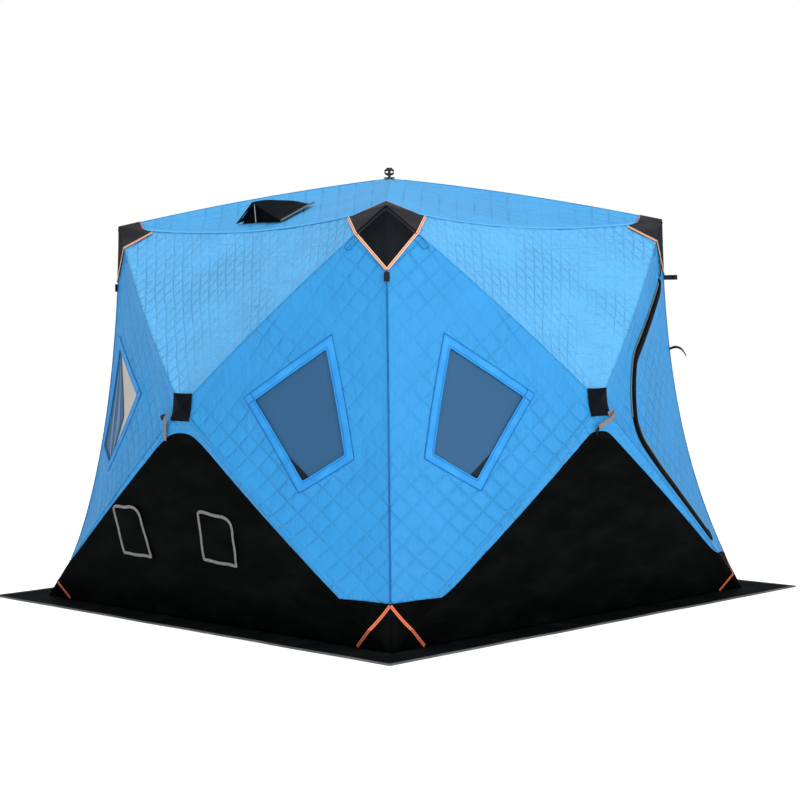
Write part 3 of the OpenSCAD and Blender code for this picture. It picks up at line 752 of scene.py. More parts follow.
def four_sided(panel, corners, lift, rows=16, sag=0.0):
    a, b, c, d = (np.asarray(p, float) for p in corners)
    u, v, faces = strip_net(rows, rows)
    u, v = u.reshape(-1, 1), v.reshape(-1, 1)
    flat = (a * (1 - u) + b * u) * (1 - v) + (d * (1 - u) + c * u) * v
    return panel.placed(flat, lift - sag * (hump(u) * hump(v)).ravel()), faces, flat


def fold_strip(panels, shares_a, shares_b, lift):
    """A strip folded over the line where two panels meet, one part on each."""
    parts = []
    for panel, (near, far) in zip(panels, (shares_a, shares_b)):
        near, far = np.asarray(near, float), np.asarray(far, float)
        n, f, s, rows = len(near), [], [], 2
        for r in range(rows + 1):
            mixed = near * (1 - r / rows) + far * (r / rows)
            f, s = np.append(f, mixed[:, 0]), np.append(s, mixed[:, 1])
        parts.append((panel.lifted(f, s, lift), quads(n, rows), panel.flat(panel.front(f, s))))
    return parts


# %% [markdown]
# ## Windows and the door, drawn flat
# All the windows but one sit halfway between hub and seam. The one beside the left corner sits
# nearer to its seam. The door takes up most of its panel and turns about the corner seam.
# Each place is a share of the way to the seam, and a share up or down of the panel there.

# %% Openings
drawn = side_panel(0, 1)
seam_x = drawn.flat(roof_corner)[0]
seam_top_y, seam_low_y = drawn.flat(roof_corner)[1], -drawn.flat(base_corner)[1]


def on_side(across, along):
    return np.array([across * seam_x, across * along * (seam_top_y if along > 0 else seam_low_y)])


window_near_hub = [on_side(0.365, -0.02), on_side(0.58, -0.59), on_side(0.76, -0.33), on_side(0.70, 0.345)]
window_near_seam = [on_side(0.482, -0.03), on_side(0.729, -0.468), on_side(0.882, -0.328), on_side(0.833, 0.274)]
door_opening = [on_side(*place) for place in (
    (0.912, 0.699), (0.888, 0.717), (0.865, 0.655), (0.51, 0.53), (0.41, 0.46), (0.348, 0.06),
    (0.292, -0.46), (0.300, -0.72), (0.41, -0.875), (0.605, -0.918), (0.780, -0.928), (0.855, -0.835))]
door_leaf = grown(door_opening, -0.006, -0.0008)
window_bend, door_bend = 0.007, 0.045  # the radius of their corners


def window_of(wall, side):
    if (wall, side) == (1, 1):
        return None
    return window_near_seam if (wall, side) == (0, -1) else window_near_hub


window_sides = [round(float(np.linalg.norm(a - b)), 3) for a, b in zip(window_near_hub, window_near_hub[1:])]
print("window sides in metres:", window_sides)

# %% [markdown]
# ## The wall panels
# Four triangles of quilted cloth meet at each wall hub. Two lean back to the corner seams and
# carry the windows, one leans back to the roof edge and one to the ground. Each is cut, puffed
# and given its five millimetres of padding, with the grey lining on its inside.

# %% Side panels
ROWS = 96


def hand(side):
    return "right" if side > 0 else "left"


def side_name(wall, side):
    return f"{WALLS[wall]}_wall_{hand(side)}_side"


def puffed(panel, pitch, depth, dent, **more):
    """The whole fan of a panel with its puffs: places, faces and flat map."""
    f, s, faces = fan_net(ROWS)
    relief = quilt_relief(panel, f, s, pitch, depth, dent, **more)
    return panel.lifted(f, s, relief), faces, panel.flat(panel.front(f, s))


def padded_cloth(name, net, finish, nodes, cuts, body="shelter"):
    return sewn(name, [net], [finish, lining_grey], body, None, nodes, cloth_t, True, cuts)


def side_cloth(wall, side):
    panel, opening = side_panel(wall, side), window_of(wall, side)
    if opening:
        calm, source, outline = opening, opening[0] - np.array([0.05, 0]), rounded(opening, window_bend)
    else:
        calm, source, outline = door_opening, None, rounded(door_opening, door_bend)
    net = puffed(panel, wall_pitch, 0.0036, 0.006, calm=[np.array(calm)], dented_from=source)
    cuts = [cut_foot(panel, True), cut_out(panel, outline, False)]
    name = side_name(wall, side)
    piece = padded_cloth(name + "_cloth", net, wall_blue, [name], cuts)
    # the door leaves so little of its panel that a narrower rectangle is given for it
    return piece


for wall in range(4):
    for side in (-1, 1):
        piece = side_cloth(wall, side)
        print(piece.name, len(piece.data.polygons), "faces")


# %% Panels above and below the hub
def whole_panel(name, panel, finish, relief, rests_on, cuts=(), cut=None, **more):
    piece = padded_cloth(name + "_cloth", puffed(panel, *relief, **more), finish, [name], cuts)
    return piece


for wall, word in enumerate(WALLS):
    piece = whole_panel(
        f"{word}_wall_top", top_panel(wall), top_blue_painted_sky_light, (top_pitch, 0.0034, 0.010), f"{word}_wall_poles",
        squeeze=top_squeeze)
    print(piece.name, len(piece.data.polygons), "faces")

# %% [markdown]
# ## The base panels
# The lowest triangle is black coated cloth, cut like a tombstone, with a blue sleeve for the
# pole along each of its sides. Both are cut from one net, so that their edges match. At the
# ground the black widens into a foot on each side of the corner.

# %% Base outline
base_top_drop, base_top_half, sleeve_w = 0.133, 0.090, 0.048


def fold_x(z):
    return base * (hub_z - z) / (hub_z - ground_z)


def on_base(x, z):
    y = (tip - base) * (hub_z - z) / (hub_z - ground_z) - tip
    return base_panel(0).flat(np.array([x, y, z]))


def base_outline(grow=0.0, flare=0.020):
    run = sleeve_w / math.sin(math.atan2(hub_z, base))
    top_at = hub_z - base_top_drop
    half = [
        (base + 0.5, foot_z + flare), (fold_x(foot_z + flare), foot_z + flare),
        (fold_x(foot_z) - run, foot_z + flare + sleeve_w * 0.42 + grow),
        (base_top_half + 2 * grow, top_at - sleeve_w / 2 + grow), (base_top_half / 2, top_at + grow)]
    upper = half + [(-x, z) for x, z in reversed(half)]
    return [on_base(x, z) for x, z in [(base + 0.5, -0.5), *upper, (-base - 0.5, -0.5)]]


black_outlines = [rounded(base_outline(grow), 0.12, bend=9) for grow in (0.014, 0.0, 0.0, 0.0)]

# %% Base panels and pole sleeves
for wall, word in enumerate(WALLS):
    panel, poles = base_panel(wall), f"{word}_wall_poles"
    inside, outside = (cut_out(panel, black_outlines[wall], keep) for keep in (True, False))
    whole_panel(f"{word}_wall_base", panel, base_black, (0.30, 0.0012, 0.0055), poles, [inside])
    whole_panel(
        f"{word}_pole_sleeve", panel, wall_blue, (wall_pitch, 0.0015, 0.003), poles, [outside], (2 * sleeve_w, 1.55))

for wall, word in enumerate(WALLS):
    for side in (-1, 1):
        panel = side_panel(wall, side)
        net = puffed(panel, 0.3, 0.001, 0.003)
        foot = padded_cloth(f"{word}_{hand(side)}_foot", net, base_black, ["corner_feet"], [cut_foot(panel, False)])
print("base panels, sleeves and corner feet are on")

# %% [markdown]
# ## The roof
# Four more triangles run from the roof hub down to the roof edges. The roof edge is a curve that
# hangs between two corners, because the cloth is pulled tight from the hubs only.

# %% Roof panels
for wall, word in enumerate(WALLS):
    whole_panel(f"{word}_roof", roof_panel(wall), roof_blue_painted_sky_light, (roof_pitch, 0.0032, 0.008), "roof_poles")


# %% [markdown]
# ## Seams
# Where two panels meet, a narrow strip is folded over the raw edges and sewn down twice. The
# corner seams are bound in darker blue, and show as one fine dark line from the cap to the foot.

# %% Seam strips
def corner_seam(wall):
    height = np.linspace(foot_z / corner_z, 0.855, 70)
    near = np.stack([np.ones(70), height], axis=1)
    far = np.stack([np.full(70, 1 - 0.0036 / 1.1), height], axis=1)
    panels = (side_panel(wall, 1), side_panel((wall + 1) % 4, -1))
    return fold_strip(panels, (near, far), (near, far), 0.0006)


def eave_seam(wall):
    along = np.linspace(0.0, 1.0, 90)
    near = np.stack([np.ones(90), along], axis=1)
    far = np.stack([np.full(90, 1 - 0.0065), along], axis=1)
    return fold_strip((top_panel(wall), roof_panel(wall)), (near, far), (near, far), 0.0014)


def pole_seam(upper, upper_s, lower, lower_s, half=0.004, start=0.055, end=0.985):
    f = np.linspace(start, end, 90)
    sides = []
    for at in (upper_s, lower_s):
        near = np.stack([f, np.full(90, at)], axis=1)
        sides.append((near, np.stack([f, at + (half / 1.7) / f * (0.5 - at) * 2], axis=1)))
    return fold_strip((upper, lower), *sides, 0.0005)


foot_end = fold_x(foot_z + 0.022) / base
for wall, word in enumerate(WALLS):
    sewn(f"{word}_right_corner_seam", corner_seam(wall), [seam_blue])
    sewn(f"{word}_eave_seam", eave_seam(wall), [eave_blue_painted_sky_light])
    folds = [(side_panel(wall, 1), 0.0, base_panel(wall), 1.0), (side_panel(wall, -1), 0.0, base_panel(wall), 0.0)]
    pole_folds = [part for fold in folds for part in pole_seam(*fold, end=foot_end)]
    sewn(f"{word}_pole_seams", pole_folds, [wall_blue], thickness=0.0006)
ridges = [part for wall in range(4) for part in pole_seam(roof_panel(wall), 1.0, roof_panel((wall + 1) % 4), 0.0)]
sewn("roof_ridge_seams", ridges, [roof_blue_painted_sky_light], thickness=0.0006)
print("seams are on")

# %% [markdown]
# ## The windows
# A window is a sheet sewn behind its opening, which stands for the clear film and the slate blue
# blind behind it. A flat band of lighter cloth frames it, stitched down on both sides; the dark
# line along its outer edge is both stitching and painted shadow where the band meets the wall.
# Where the blind is folded at a corner, a small dark triangle shows.

# %% Window panes
lining_z = cloth_t + 0.0004
edging_w = 0.036


def pane(wall, side):
    panel, opening = side_panel(wall, side), window_of(wall, side)
    outline = grown(opening, 0.014, 0.014)
    word = f"{WALLS[wall]}_{hand(side)}"
    striped = (wall, side) == (0, -1)  # this one's blind is drawn back from the hub side
    glass = sewn(
        f"{word}_window_film", [four_sided(panel, outline, -lining_z, 24, 0.0015)],
        [pale_film if striped else slate_film], nodes=["window_panes"], inwards=True)
    hub_end, low, seam_end, high = (np.asarray(p) for p in opening)
    if striped:
        edge_at = hub_end * 0.58 + seam_end * 0.42
        for strip in range(5):
            near, far = strip / 5, (strip + 0.86) / 5
            corners = [high, edge_at * (1 - near) + seam_end * near, low, edge_at * (1 - far) + seam_end * far]
            blind = four_sided(panel, corners, -0.0040 + 0.0004 * strip, 12)
            look = striped_film if strip % 2 else slate_film
            sewn(f"{word}_window_blind_{strip + 1}", [blind], [look], thickness=0.0006)
        dark = [low, low + (hub_end - low) * 0.20, low + (seam_end - low) * 0.30]
    else:
        dark = [low, low + (hub_end - low) * 0.33, low + (seam_end - low) * 0.16]
    sewn(f"{word}_window_fold", [triangle(panel, dark, -0.0030, 8)], [fold_film], thickness=0.0006)


# %% Window edging
def window_edging(wall, side):
    panel, opening = side_panel(wall, side), window_of(wall, side)
    word = f"{WALLS[wall]}_{hand(side)}"

    def ring(grow):
        return rounded(grown(opening, grow, grow), window_bend, straight=12, bend=6)

    edging = sewn(
        f"{word}_window_edging", [band(panel, ring(-0.001), ring(edging_w), 0.0009, 5, 0.0022)], [binding_blue],
        thickness=0.0010)
    # The dark line at the edging's outer edge is stitching and also painted shadow along the band's edge.
    for start, end, lift, finish, what in (
            (-0.0035, 0.0010, 0.0020, binding_blue, "lip"), (0.0355, 0.0385, 0.0010, seam_blue, "stitching"),
            (0.0052, 0.0062, 0.0022, seam_blue, "inner_stitching")):
        line = band(panel, ring(start), ring(end), lift, 2, 0.0004)
        sewn(f"{word}_window_{what}", [line], [finish], thickness=0.0010)
    first = grown(opening, edging_w, edging_w)[0]
    down, along = unit(opening[1] - opening[0]), unit(opening[3] - opening[0])
    lap = [first + down * 0.040, first + (down + along) * 0.038, first + along * 0.040]
    sewn(f"{word}_window_lap", [four_sided(panel, [first, *lap], 0.0034, 6)], [binding_blue], thickness=0.0006)
    lap_line = ribbon(panel, even(np.array(lap), 0.006), 0.0026, 0.0044, 2)
    sewn(f"{word}_window_lap_stitching", [lap_line], [seam_blue], thickness=0.0005)


for wall in range(4):
    for side in (-1, 1):
        if window_of(wall, side):
            pane(wall, side)
            window_edging(wall, side)
print("windows are in")

# %% [markdown]
# ## The door
# The door is the same quilted cloth. Its zip runs round all of it but the corner seam, which
# is its hinge. A black flap covers the zip, with a grey piping on the upper part and the bare
# zip tape below. The door, flap and zip all ride on the door's body.

# %% Door cloth
door_side = side_panel(1, 1)
door = padded_cloth(
    "door_cloth", puffed(door_side, wall_pitch, 0.0030, 0.004, calm=[np.array(door_leaf)]), wall_blue,
    ["door_panel"], [cut_out(door_side, rounded(door_leaf, door_bend), True)], "door")

# %% Zip and flap
zip_path = even(rounded(door_leaf, door_bend, straight=8, bend=7, closed=False), 0.016)
jog = int(np.argmin(np.linalg.norm(zip_path - np.asarray(door_leaf[6]), axis=1)))


def door_band(name, path, size, finish, thickness, shift, **more):
    """A ribbon on the door: its size is width, lift, rows and crown."""
    return sewn(name, [ribbon(door_side, path, *size, shift=shift)], [finish], thickness=thickness, **more)


flap = door_band(
    "door_flap_cloth", zip_path[2:-3], (0.058, 0.0012, 6, 0.0038), base_black, 0.0012, 0.001,
    body="door", nodes=["door_zip_flap"])
door_band(
    "door_zip", zip_path[3:-3], (0.007, 0.0056, 3, 0.0008), patch_black, 0.0010, 0.002,
    body="door", slot="black_fabric")
door_band("door_piping", zip_path[4:jog], (0.0070, 0.0022, 4, 0.0028), zip_grey, 0.0012, 0.0310, body="door")
door_band("door_zip_tape", zip_path[jog + 2:-6], (0.0065, 0.0036, 3, 0.0010), zip_grey, 0.0010, -0.0290, body="door")

# %% The closed end of the zip, up to the cap
last = np.asarray(door_opening[1])
end_corners = [last, last + np.array([0.036, 0.052]), np.array([1.040, 0.600])]
zip_end = even(rounded(end_corners, 0.03, 6, 5, closed=False), 0.01)
door_band("door_zip_end", zip_end, (0.028, 0.0014, 4, 0.0030), base_black, 0.0012, 0.0)
door_band("door_zip_end_piping", zip_end, (0.0075, 0.0026, 3, 0.0020), zip_grey, 0.0010, -0.016)
print("door zip is", round(float(np.linalg.norm(np.diff(zip_path, axis=0), axis=1).sum()), 2), "m long")

# %% [markdown]
# ## Corner caps
# A black patch is folded over each roof corner, where two walls, the roof and three poles meet.
# It is sewn to all six panels there. A reflective tape runs down both of its outer edges to
# the tip on the seam, and thin padded ridges cover the two wall poles.

# %% Caps
cap_edge, cap_pole, cap_seam = 0.224, 0.178, 0.281
pole_part = cap_pole / np.linalg.norm(roof_corner - hub)
ridge_part = 0.110 / np.linalg.norm(roof_corner - apex)
seam_part = cap_seam / np.linalg.norm(roof_corner - base_corner)
edge_part, fold_part = 0.180 / (2 * top), (cap_edge + 0.022) / (2 * top)
fold_f = 0.985


def cap_sectors(wall):
    after = (wall + 1) % 4
    return [
        (roof_panel(wall), [(1, 1), (1 - ridge_part, 1), (1, 1 - edge_part)]),
        (top_panel(wall), [(1, 1), (1, 1 - edge_part), (fold_f, 1 - fold_part)]),
        (top_panel(wall), [(1, 1), (fold_f, 1 - fold_part), (1 - pole_part, 1)]),
        (side_panel(wall, 1), [(1, 1), (1 - pole_part, 1), (1, 1 - seam_part)]),
        (side_panel(after, -1), [(1, 1), (1, 1 - seam_part), (1 - pole_part, 1)]),
        (top_panel(after), [(1, 0), (1 - pole_part, 0), (fold_f, fold_part)]),
        (top_panel(after), [(1, 0), (fold_f, fold_part), (1, edge_part)]),
        (roof_panel(after), [(1, 0), (1, edge_part), (1 - ridge_part, 0)])]


def share_line(panel, start, end, half, lift, count=18, rows=3, crown=0.0):
    """A straight ribbon between two shares of a panel, so that it meets its neighbour at a fold."""
    ends = panel.flat(panel.front([start[0], end[0]], [start[1], end[1]]))
    t = np.linspace(0, 1, count).reshape(-1, 1)
    return ribbon(panel, ends[0] * (1 - t) + ends[1] * t, half * 2, lift, rows, crown)


def sewn_lines(name, lines, finish, thickness):
    for number, made in enumerate(lines):
        sewn(f"{name}_{number + 1}", [made], [finish], thickness=thickness)


tape_size = dict(half=0.0062, lift=0.0046, crown=0.0006)
piping_size = dict(half=0.0028, lift=0.0046)
pad_size = dict(half=0.0034, lift=0.0030, crown=0.0024)
pole_at, pad_ends = (1 - pole_part, 1), ((0.998, 0.992), (1 - pole_part * 0.95, 0.992))
for wall, word in enumerate(WALLS):
    after, name = (wall + 1) % 4, f"{word}_right_cap"
    sides = (side_panel(wall, 1), side_panel(after, -1))
    made = [sector(panel, corners, 0.0022, 12) for panel, corners in cap_sectors(wall)]
    kite = sewn(name + "_kite", made[3:5], [patch_black], nodes=["corner_caps"], thickness=0.0016)
    # The flaps on the top and roof panels get the greyer finish: painted sheen where the black patch faces upwards.
    flaps = sewn(name + "_flaps", made[:3] + made[5:], [patch_grey_painted_sheen], nodes=["corner_caps"], thickness=0.0016)
    sewn_lines(name + "_tape", [
        share_line(top_panel(wall), (fold_f, 1 - fold_part), pole_at, **tape_size),
        *(share_line(side, pole_at, (1, 1 - seam_part), **tape_size) for side in sides),
        share_line(top_panel(after), (fold_f, fold_part), (1 - pole_part, 0), **tape_size)], cap_tape, 0.0008)
    sewn_lines(name + "_piping", [
        share_line(roof_panel(wall), (1 - ridge_part, 1), (1, 1 - edge_part), **piping_size),
        share_line(roof_panel(after), (1 - ridge_part, 0), (1, edge_part), **piping_size)], piping_tape, 0.0008)
    sewn_lines(name + "_ridge", [share_line(side, *pad_ends, **pad_size) for side in sides], patch_grey_painted_sheen, 0.0012)
print("four caps are on")


# %% [markdown]
# ## Stitched rectangles beside the caps
# The ends of the pole pockets are sewn down beside each cap. Only the stitching shows: a narrow
# rectangle in darker thread.

# %% Stitched rectangles
def stitched_box(wall, side):
    panel = side_panel(wall, side)
    pole_at = panel.flat(panel.front([1 - pole_part], [1.0]))[0]
    down, along = unit(panel.flat(panel.front([1], [0.9]))[0] - pole_at), unit(-pole_at)
    first = pole_at + along * 0.014 + down * 0.004
    far = first + along * 0.072 + down * 0.010
    corners = [first, far, first + along * 0.072 + down * 0.039, first + down * 0.029]
    return [ribbon(panel, even(rounded(corners, 0.003, 6, 4), 0.006), 0.0024, 0.0008, 2, 0.0004, closed=True)]


for wall, word in enumerate(WALLS):
    for side in (-1, 1):
        sewn(f"{word}_{hand(side)}_pocket_stitching", stitched_box(wall, side), [seam_blue], thickness=0.0006)


# %% [markdown]
# ## Hub patches and pull straps
# The poles press on the cloth where they leave the hub, so a folded black patch covers it.
# From its lower edge hangs a grey strap: pulled from outside, it pops the wall out.

# %% Hub patches
patch_half, patch_low = 0.066, 0.066


def hub_patch(wall):
    roof_share, ground_share = patch_half / top, patch_half / base
    low_share = patch_low / (hub_z - ground_z)
    foot_s = 0.5 + 0.5 * (patch_half / patch_low) * (hub_z - ground_z) / base
    cloths = [(top_panel(wall), [(0, 0.5), (roof_share, 0), (roof_share, 1)])]
    for side in (-1, 1):
        cloths.append((side_panel(wall, side), [(0, 0.5), (ground_share, 0), (roof_share, 1)]))
    lower = base_panel(wall)
    for side in (-1, 1):
        fold_s = 0.5 + 0.5 * side
        cloths.append((lower, [(0, 0.5), (ground_share, fold_s), (low_share, 0.5 + (foot_s - 0.5) * side)]))
    cloths.append((lower, [(0, 0.5), (low_share, 1 - foot_s), (low_share, foot_s)]))
    parts = []
    for panel, places in cloths:
        corners = panel.flat(panel.front(*np.array(places, float).T))
        parts.append(triangle(panel, corners, 0.0026, 10))
    return parts


for wall, word in enumerate(WALLS):
    piece = sewn(f"{word}_hub_patch", hub_patch(wall), [patch_black], nodes=["hub_patches"], thickness=0.0016)


# %% Straps and loops
def strap(name, path, width, across, finish, nodes=()):
    """A flat strap along a path in space, with its width along one direction."""
    path, across = even(path, 0.006), np.asarray(across, float)
    n, rows = len(path), 4
    run = np.concatenate([[0], np.cumsum(np.linalg.norm(np.diff(path, axis=0), axis=1))])
    points, flat = [], []
    for r in range(rows + 1):
        t = r / rows - 0.5
        points.append(path + across * width * t)
        flat.append(np.stack([run, np.full(n, width * t)], axis=1))
    part = np.concatenate(points), quads(n, rows), np.concatenate(flat)
    return sewn(name, [part], [finish], nodes=nodes, thickness=0.0018)


def bent(points, radius=0.02):
    """A path in space with its corners rounded."""
    points = np.asarray(points, float)
    path = [points[0]]
    for a, b, c in zip(points, points[1:], points[2:]):
        start = b + unit(a - b) * min(radius, 0.45 * np.linalg.norm(a - b))
        end = b + unit(c - b) * min(radius, 0.45 * np.linalg.norm(c - b))
        for t in np.linspace(0, 1, 7):
            path.append((1 - t) ** 2 * start + 2 * t * (1 - t) * b + t * t * end)
    return np.array(path + [points[-1]])


out, level = np.array([1, -1, 0]) / math.sqrt(2), np.array([1, 1, 0]) / math.sqrt(2)
down = np.array([0, 0, -1.0])
low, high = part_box("hub_pull_straps")[0].z + 0.022, hub_z - 0.030
lean = (tip - base) / (hub_z - ground_z)
loop_share = 1 - (cap_seam + 0.0125) / np.linalg.norm(roof_corner - base_corner)


def before_base(x, away, z):
    """A place in front of the base panel, so far away from it."""
    return x, lean * (hub_z - z) - tip + wall_bow[1] * hump((hub_z - z) / hub_z) - away, z


for wall, word in enumerate(WALLS):
    face = base_panel(wall)
    if wall == 1:
        places = [(0.052, 0.004, high - 0.030), (0.086, 0.016, high - 0.012), (0.070, 0.022, high - 0.045),
                  (-0.024, 0.012, low + 0.042)]
    else:
        places = [(-0.060, 0.004, high), (-0.098, 0.012, high - 0.008), (-0.100, 0.012, high - 0.060),
                  (-0.110, 0.006, low)]
    hang = [before_base(*place) for place in places]
    across = face.turned([0.40, 0.0, -0.92] if wall == 1 else [1, 0, 0])[0]
    strap(f"{word}_pull_strap", face.turned(bent(hang, 0.02)), 0.022, across, grey_webbing, ["hub_pull_straps"])
    start = np.array(hang[3] if wall == 1 else hang[1])
    loop = [start + step for step in (
        (0, 0, 0), (-0.014, -0.008, -0.006), (-0.020, 0.002, -0.022), (-0.006, 0.004, -0.030))]
    strap(f"{word}_pull_loop", face.turned(bent(loop, 0.006)), 0.020, across, black_webbing)
    seam_at = side_panel(wall, 1).front([1], [loop_share])[0]
    if wall in (1, 2):  # these two loops stand out, as a taut line leaves them
        half = [(0, 0.002), (0.045, 0.0035), (0.068, 0.003)]
        half += [(away, -aside) for away, aside in reversed(half)]
        ring = [seam_at + out * away + level * aside for away, aside in half]
        width, upright = 0.024, face.turned([0, 0, 1])[0]
    else:
        far = 0.016 if wall == 0 else 0.006
        ring = [seam_at + out * away + down * drop for away, drop in (
            (0.003, 0), (far, -0.004), (far * 1.1, 0.030), (far * 0.8, 0.038), (0.004, 0.012))]
        width, upright = 0.026, face.turned(unit(level + out * 0.35))[0]
    strap(f"{word}_right_guy_loop", face.turned(bent(ring, 0.004)), width, upright, black_webbing, ["guy_loops"])
seam_at = side_panel(1, 1).front([1], [0.652])[0]
tie = [seam_at + out * away - down * rise for away, rise in (
    (0, 0), (0.030, 0.010), (0.062, -0.002), (0.082, -0.036))]
tie_across = base_panel(1).turned([0.5, 0.5, 0.7])[0]
strap("right_back_tie", base_panel(1).turned(bent(tie, 0.02)), 0.016, tie_across, black_webbing)
print("straps and loops hang in place")

# %% [markdown]
# ## Tapes on the feet
# An orange reflective tape makes an upturned V over each foot, from the seam down to the ground, so that
# nobody trips over a corner in the dark.

# %% Foot tapes
tape_top, tape_reach = 0.178, 0.190
for wall, word in enumerate(WALLS):
    for number, (which, side) in enumerate(((wall, 1), ((wall + 1) % 4, -1))):
        upper, lower = side_panel(which, side), base_panel(which, side)
        start = upper.front([1], [tape_top / corner_z])[0]
        slope = (tape_top - 0.008) / (start[0] - base + tape_reach)
        cross_x = (slope * start[0] - tape_top + hub_z) / (slope + (hub_z - ground_z) / base) + 0.020
        crossing = (cross_x / base, 0.0), (cross_x / base, 1.0)
        ground_s = 0.5 + 0.5 * (base - tape_reach) / base
        parts = [
            share_line(upper, (0.999, tape_top / corner_z), crossing[0], 0.0065, 0.0012, crown=0.0005),
            share_line(lower, crossing[1], (0.994, ground_s), 0.0065, 0.0012, crown=0.0005)]
        sewn(f"{word}_right_foot_tape_{number + 1}", parts, [foot_tape], thickness=0.0009)

# %% [markdown]
# ## Air vents
# Two flaps in the base of the front wall let air in at the ice. Each is a rounded black panel
# with a grey tape around it, and one corner is rounded more than the others.

# %% Vents
low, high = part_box("front_air_vents")
vent_corners = {
    "left": [(low.x + 0.032, low.z), (low.x + 0.241, low.z - 0.003),
             (low.x + 0.180, high.z - 0.006), (low.x - 0.012, high.z - 0.012)],
    "right": [(high.x - 0.222, low.z + 0.017), (high.x + 0.004, low.z + 0.006),
              (high.x + 0.002, high.z - 0.018), (high.x - 0.228, high.z + 0.005)]}
front_base = base_panel(0)
for name, places in vent_corners.items():
    corners = [on_base(*place) for place in places]
    outline = rounded(corners, (0.010, 0.010, 0.055, 0.016), 12, 7)
    flap = four_sided(front_base, corners, 0.0014, 12, -0.0035)
    sewn(f"front_{name}_vent_flap", [flap], [base_black], thickness=0.0010)
    wobble = 0.0016 * np.sin(np.arange(len(outline)) * 0.7).reshape(-1, 1)
    tape = ribbon(front_base, outline + wobble, 0.014, 0.0020, 4, 0.0030, closed=True)
    sewn(f"front_{name}_vent_tape", [tape], [grey_webbing], nodes=["front_air_vents"])
print("vent corners in metres:", vent_corners)

# %% [markdown]
# ## The roof vent
# A hood keeps snow out of the air hole in the roof. One piece of black cloth is folded over a
# ridge that drops from its mouth to its back. A stiff edge keeps the mouth open, and a thin
# strut props it.

# %% Hood
hood_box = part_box("roof_vent_hood")
hood_x, half_w = (hood_box[0].x + hood_box[1].x) / 2, (hood_box[1].x - hood_box[0].x) / 2
hood_x, mouth_y, back_y = hood_x - 0.030, hood_box[0].y + 0.014, hood_box[1].y - 0.030
front_roof = roof_panel(0)


def on_roof(x, y, lift=0.004):
    f = -y / (top - eave_pull)
    for _ in range(8):
        f = f + (front_roof.front([f], [0.5 + x / (2 * top * f)])[0][1] - y) / (top - eave_pull)
    return front_roof.lifted([f], [0.5 + x / (2 * top * f)], lift)[0]


mouth_cut, back_cut, depth_cut = 0.345, 0.215, 0.265


def hood_cloth(points, rows=16, columns=26):
    """A canopy over a left edge, a ridge and a right edge, each from the mouth to the back."""
    (left_a, ridge_a, right_a), (left_b, ridge_b, right_b) = points
    u, v, faces = strip_net(columns, rows)
    u, v = u.reshape(-1, 1), v.reshape(-1, 1)
    runs = ((left_a, left_b), (ridge_a, ridge_b), (right_a, right_b))
    left, ridge, right = (a * (1 - v) + b * v for a, b in runs)
    ridge = ridge + np.array([0, 0, 0.012]) * hump(v)
    sharp = np.abs(1 - 2 * u) ** 0.86
    sides = np.where(u < 0.5, left, right)
    cloth = ridge * (1 - sharp) + sides * sharp
    slack = 0.010 * hump(np.clip(np.abs(1 - 2 * u), 0, 1)) * (1 - 0.5 * v)
    cloth = cloth - np.array([0, 0, 1.0]) * (slack + 0.002 * np.sin(u * 31 + v * 9) * hump(v))
    flat = np.concatenate([(u - 0.5) * (mouth_cut * (1 - v) + back_cut * v), v * depth_cut], axis=1)
    return cloth, faces, flat


# %% Hood pieces
foot_left, foot_right = on_roof(hood_x - half_w - 0.006, mouth_y), on_roof(hood_x + half_w, mouth_y + 0.010)
back_left, back_right = on_roof(hood_x - half_w + 0.06, back_y), on_roof(hood_x + half_w - 0.02, back_y, 0.020)
peak = np.array([hood_x - 0.038, mouth_y - 0.002, hood_box[1].z - 0.034])
ridge_end = (back_left + back_right) / 2 + np.array([0.03, 0, 0.006])
canopy = hood_cloth([(foot_left, peak, foot_right), (back_left, ridge_end, back_right)])
hood = sewn(
    "roof_vent_hood_cloth", [canopy], [patch_black],
    slot="black_fabric", nodes=["roof_vent_hood"], thickness=0.0016)


def three_points(a, b, c, rows=12):
    weights, faces = corner_weights(rows)
    points = weights @ np.array([a, b, c])
    return points, faces, points[:, :2]


inset = np.array([0, 0.028, -0.006])
inside = three_points(peak + inset, foot_left + inset, foot_right + inset)
sewn("roof_vent_mesh", [inside], [skirt_black])


# %% Rods and edges
def rod(name, ends, radius, finish):
    """A round rod through points in space: a cylinder is stretched along each run."""
    made = []
    for a, b in zip(ends, ends[1:]):
        a, b = Vector(a), Vector(b)
        bpy.ops.mesh.primitive_cylinder_add(vertices=14, radius=radius, depth=(b - a).length)
        piece = bpy.context.object
        turn = (b - a).to_track_quat("Z", "Y").to_matrix().to_4x4()
        piece.data.transform(Matrix.Translation((a + b) / 2) @ turn)
        made.append(piece)
    select_only(made[0])
    for piece in made:
        piece.select_set(True)
    if len(made) > 1:
        bpy.ops.object.join()
    piece = bpy.context.object
    piece.name = name
    bpy.ops.object.shade_smooth_by_angle(angle=math.radians(40))
    piece.data.materials.clear()
    piece.data.materials.append(finish)
    piece.data.uv_layers[0].name = "cloth"
    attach(piece, "shelter")


strut_ends = [on_roof(hood_x - 0.030, mouth_y + 0.012), peak + np.array([0.004, 0.006, -0.008])]
rod("roof_vent_strut", strut_ends, 0.0018, pole_grey)
rod("roof_vent_right_edge", [foot_right, back_right], 0.0046, zip_grey)
rod("roof_vent_mouth_edge", [foot_left, peak, foot_right], 0.0034, patch_black)
print("hood peak is", round(float(peak[2] - foot_left[2]), 3), "m above its mouth")

# %% [markdown]
# ## The snow skirt
# A strip of black cloth lies flat on the ice all round, and snow is shovelled onto it to keep
# the wind out. It is mitred at the corners, wavy as cloth on ice is, and bound in grey.

# %% Skirt
skirt_columns = 120


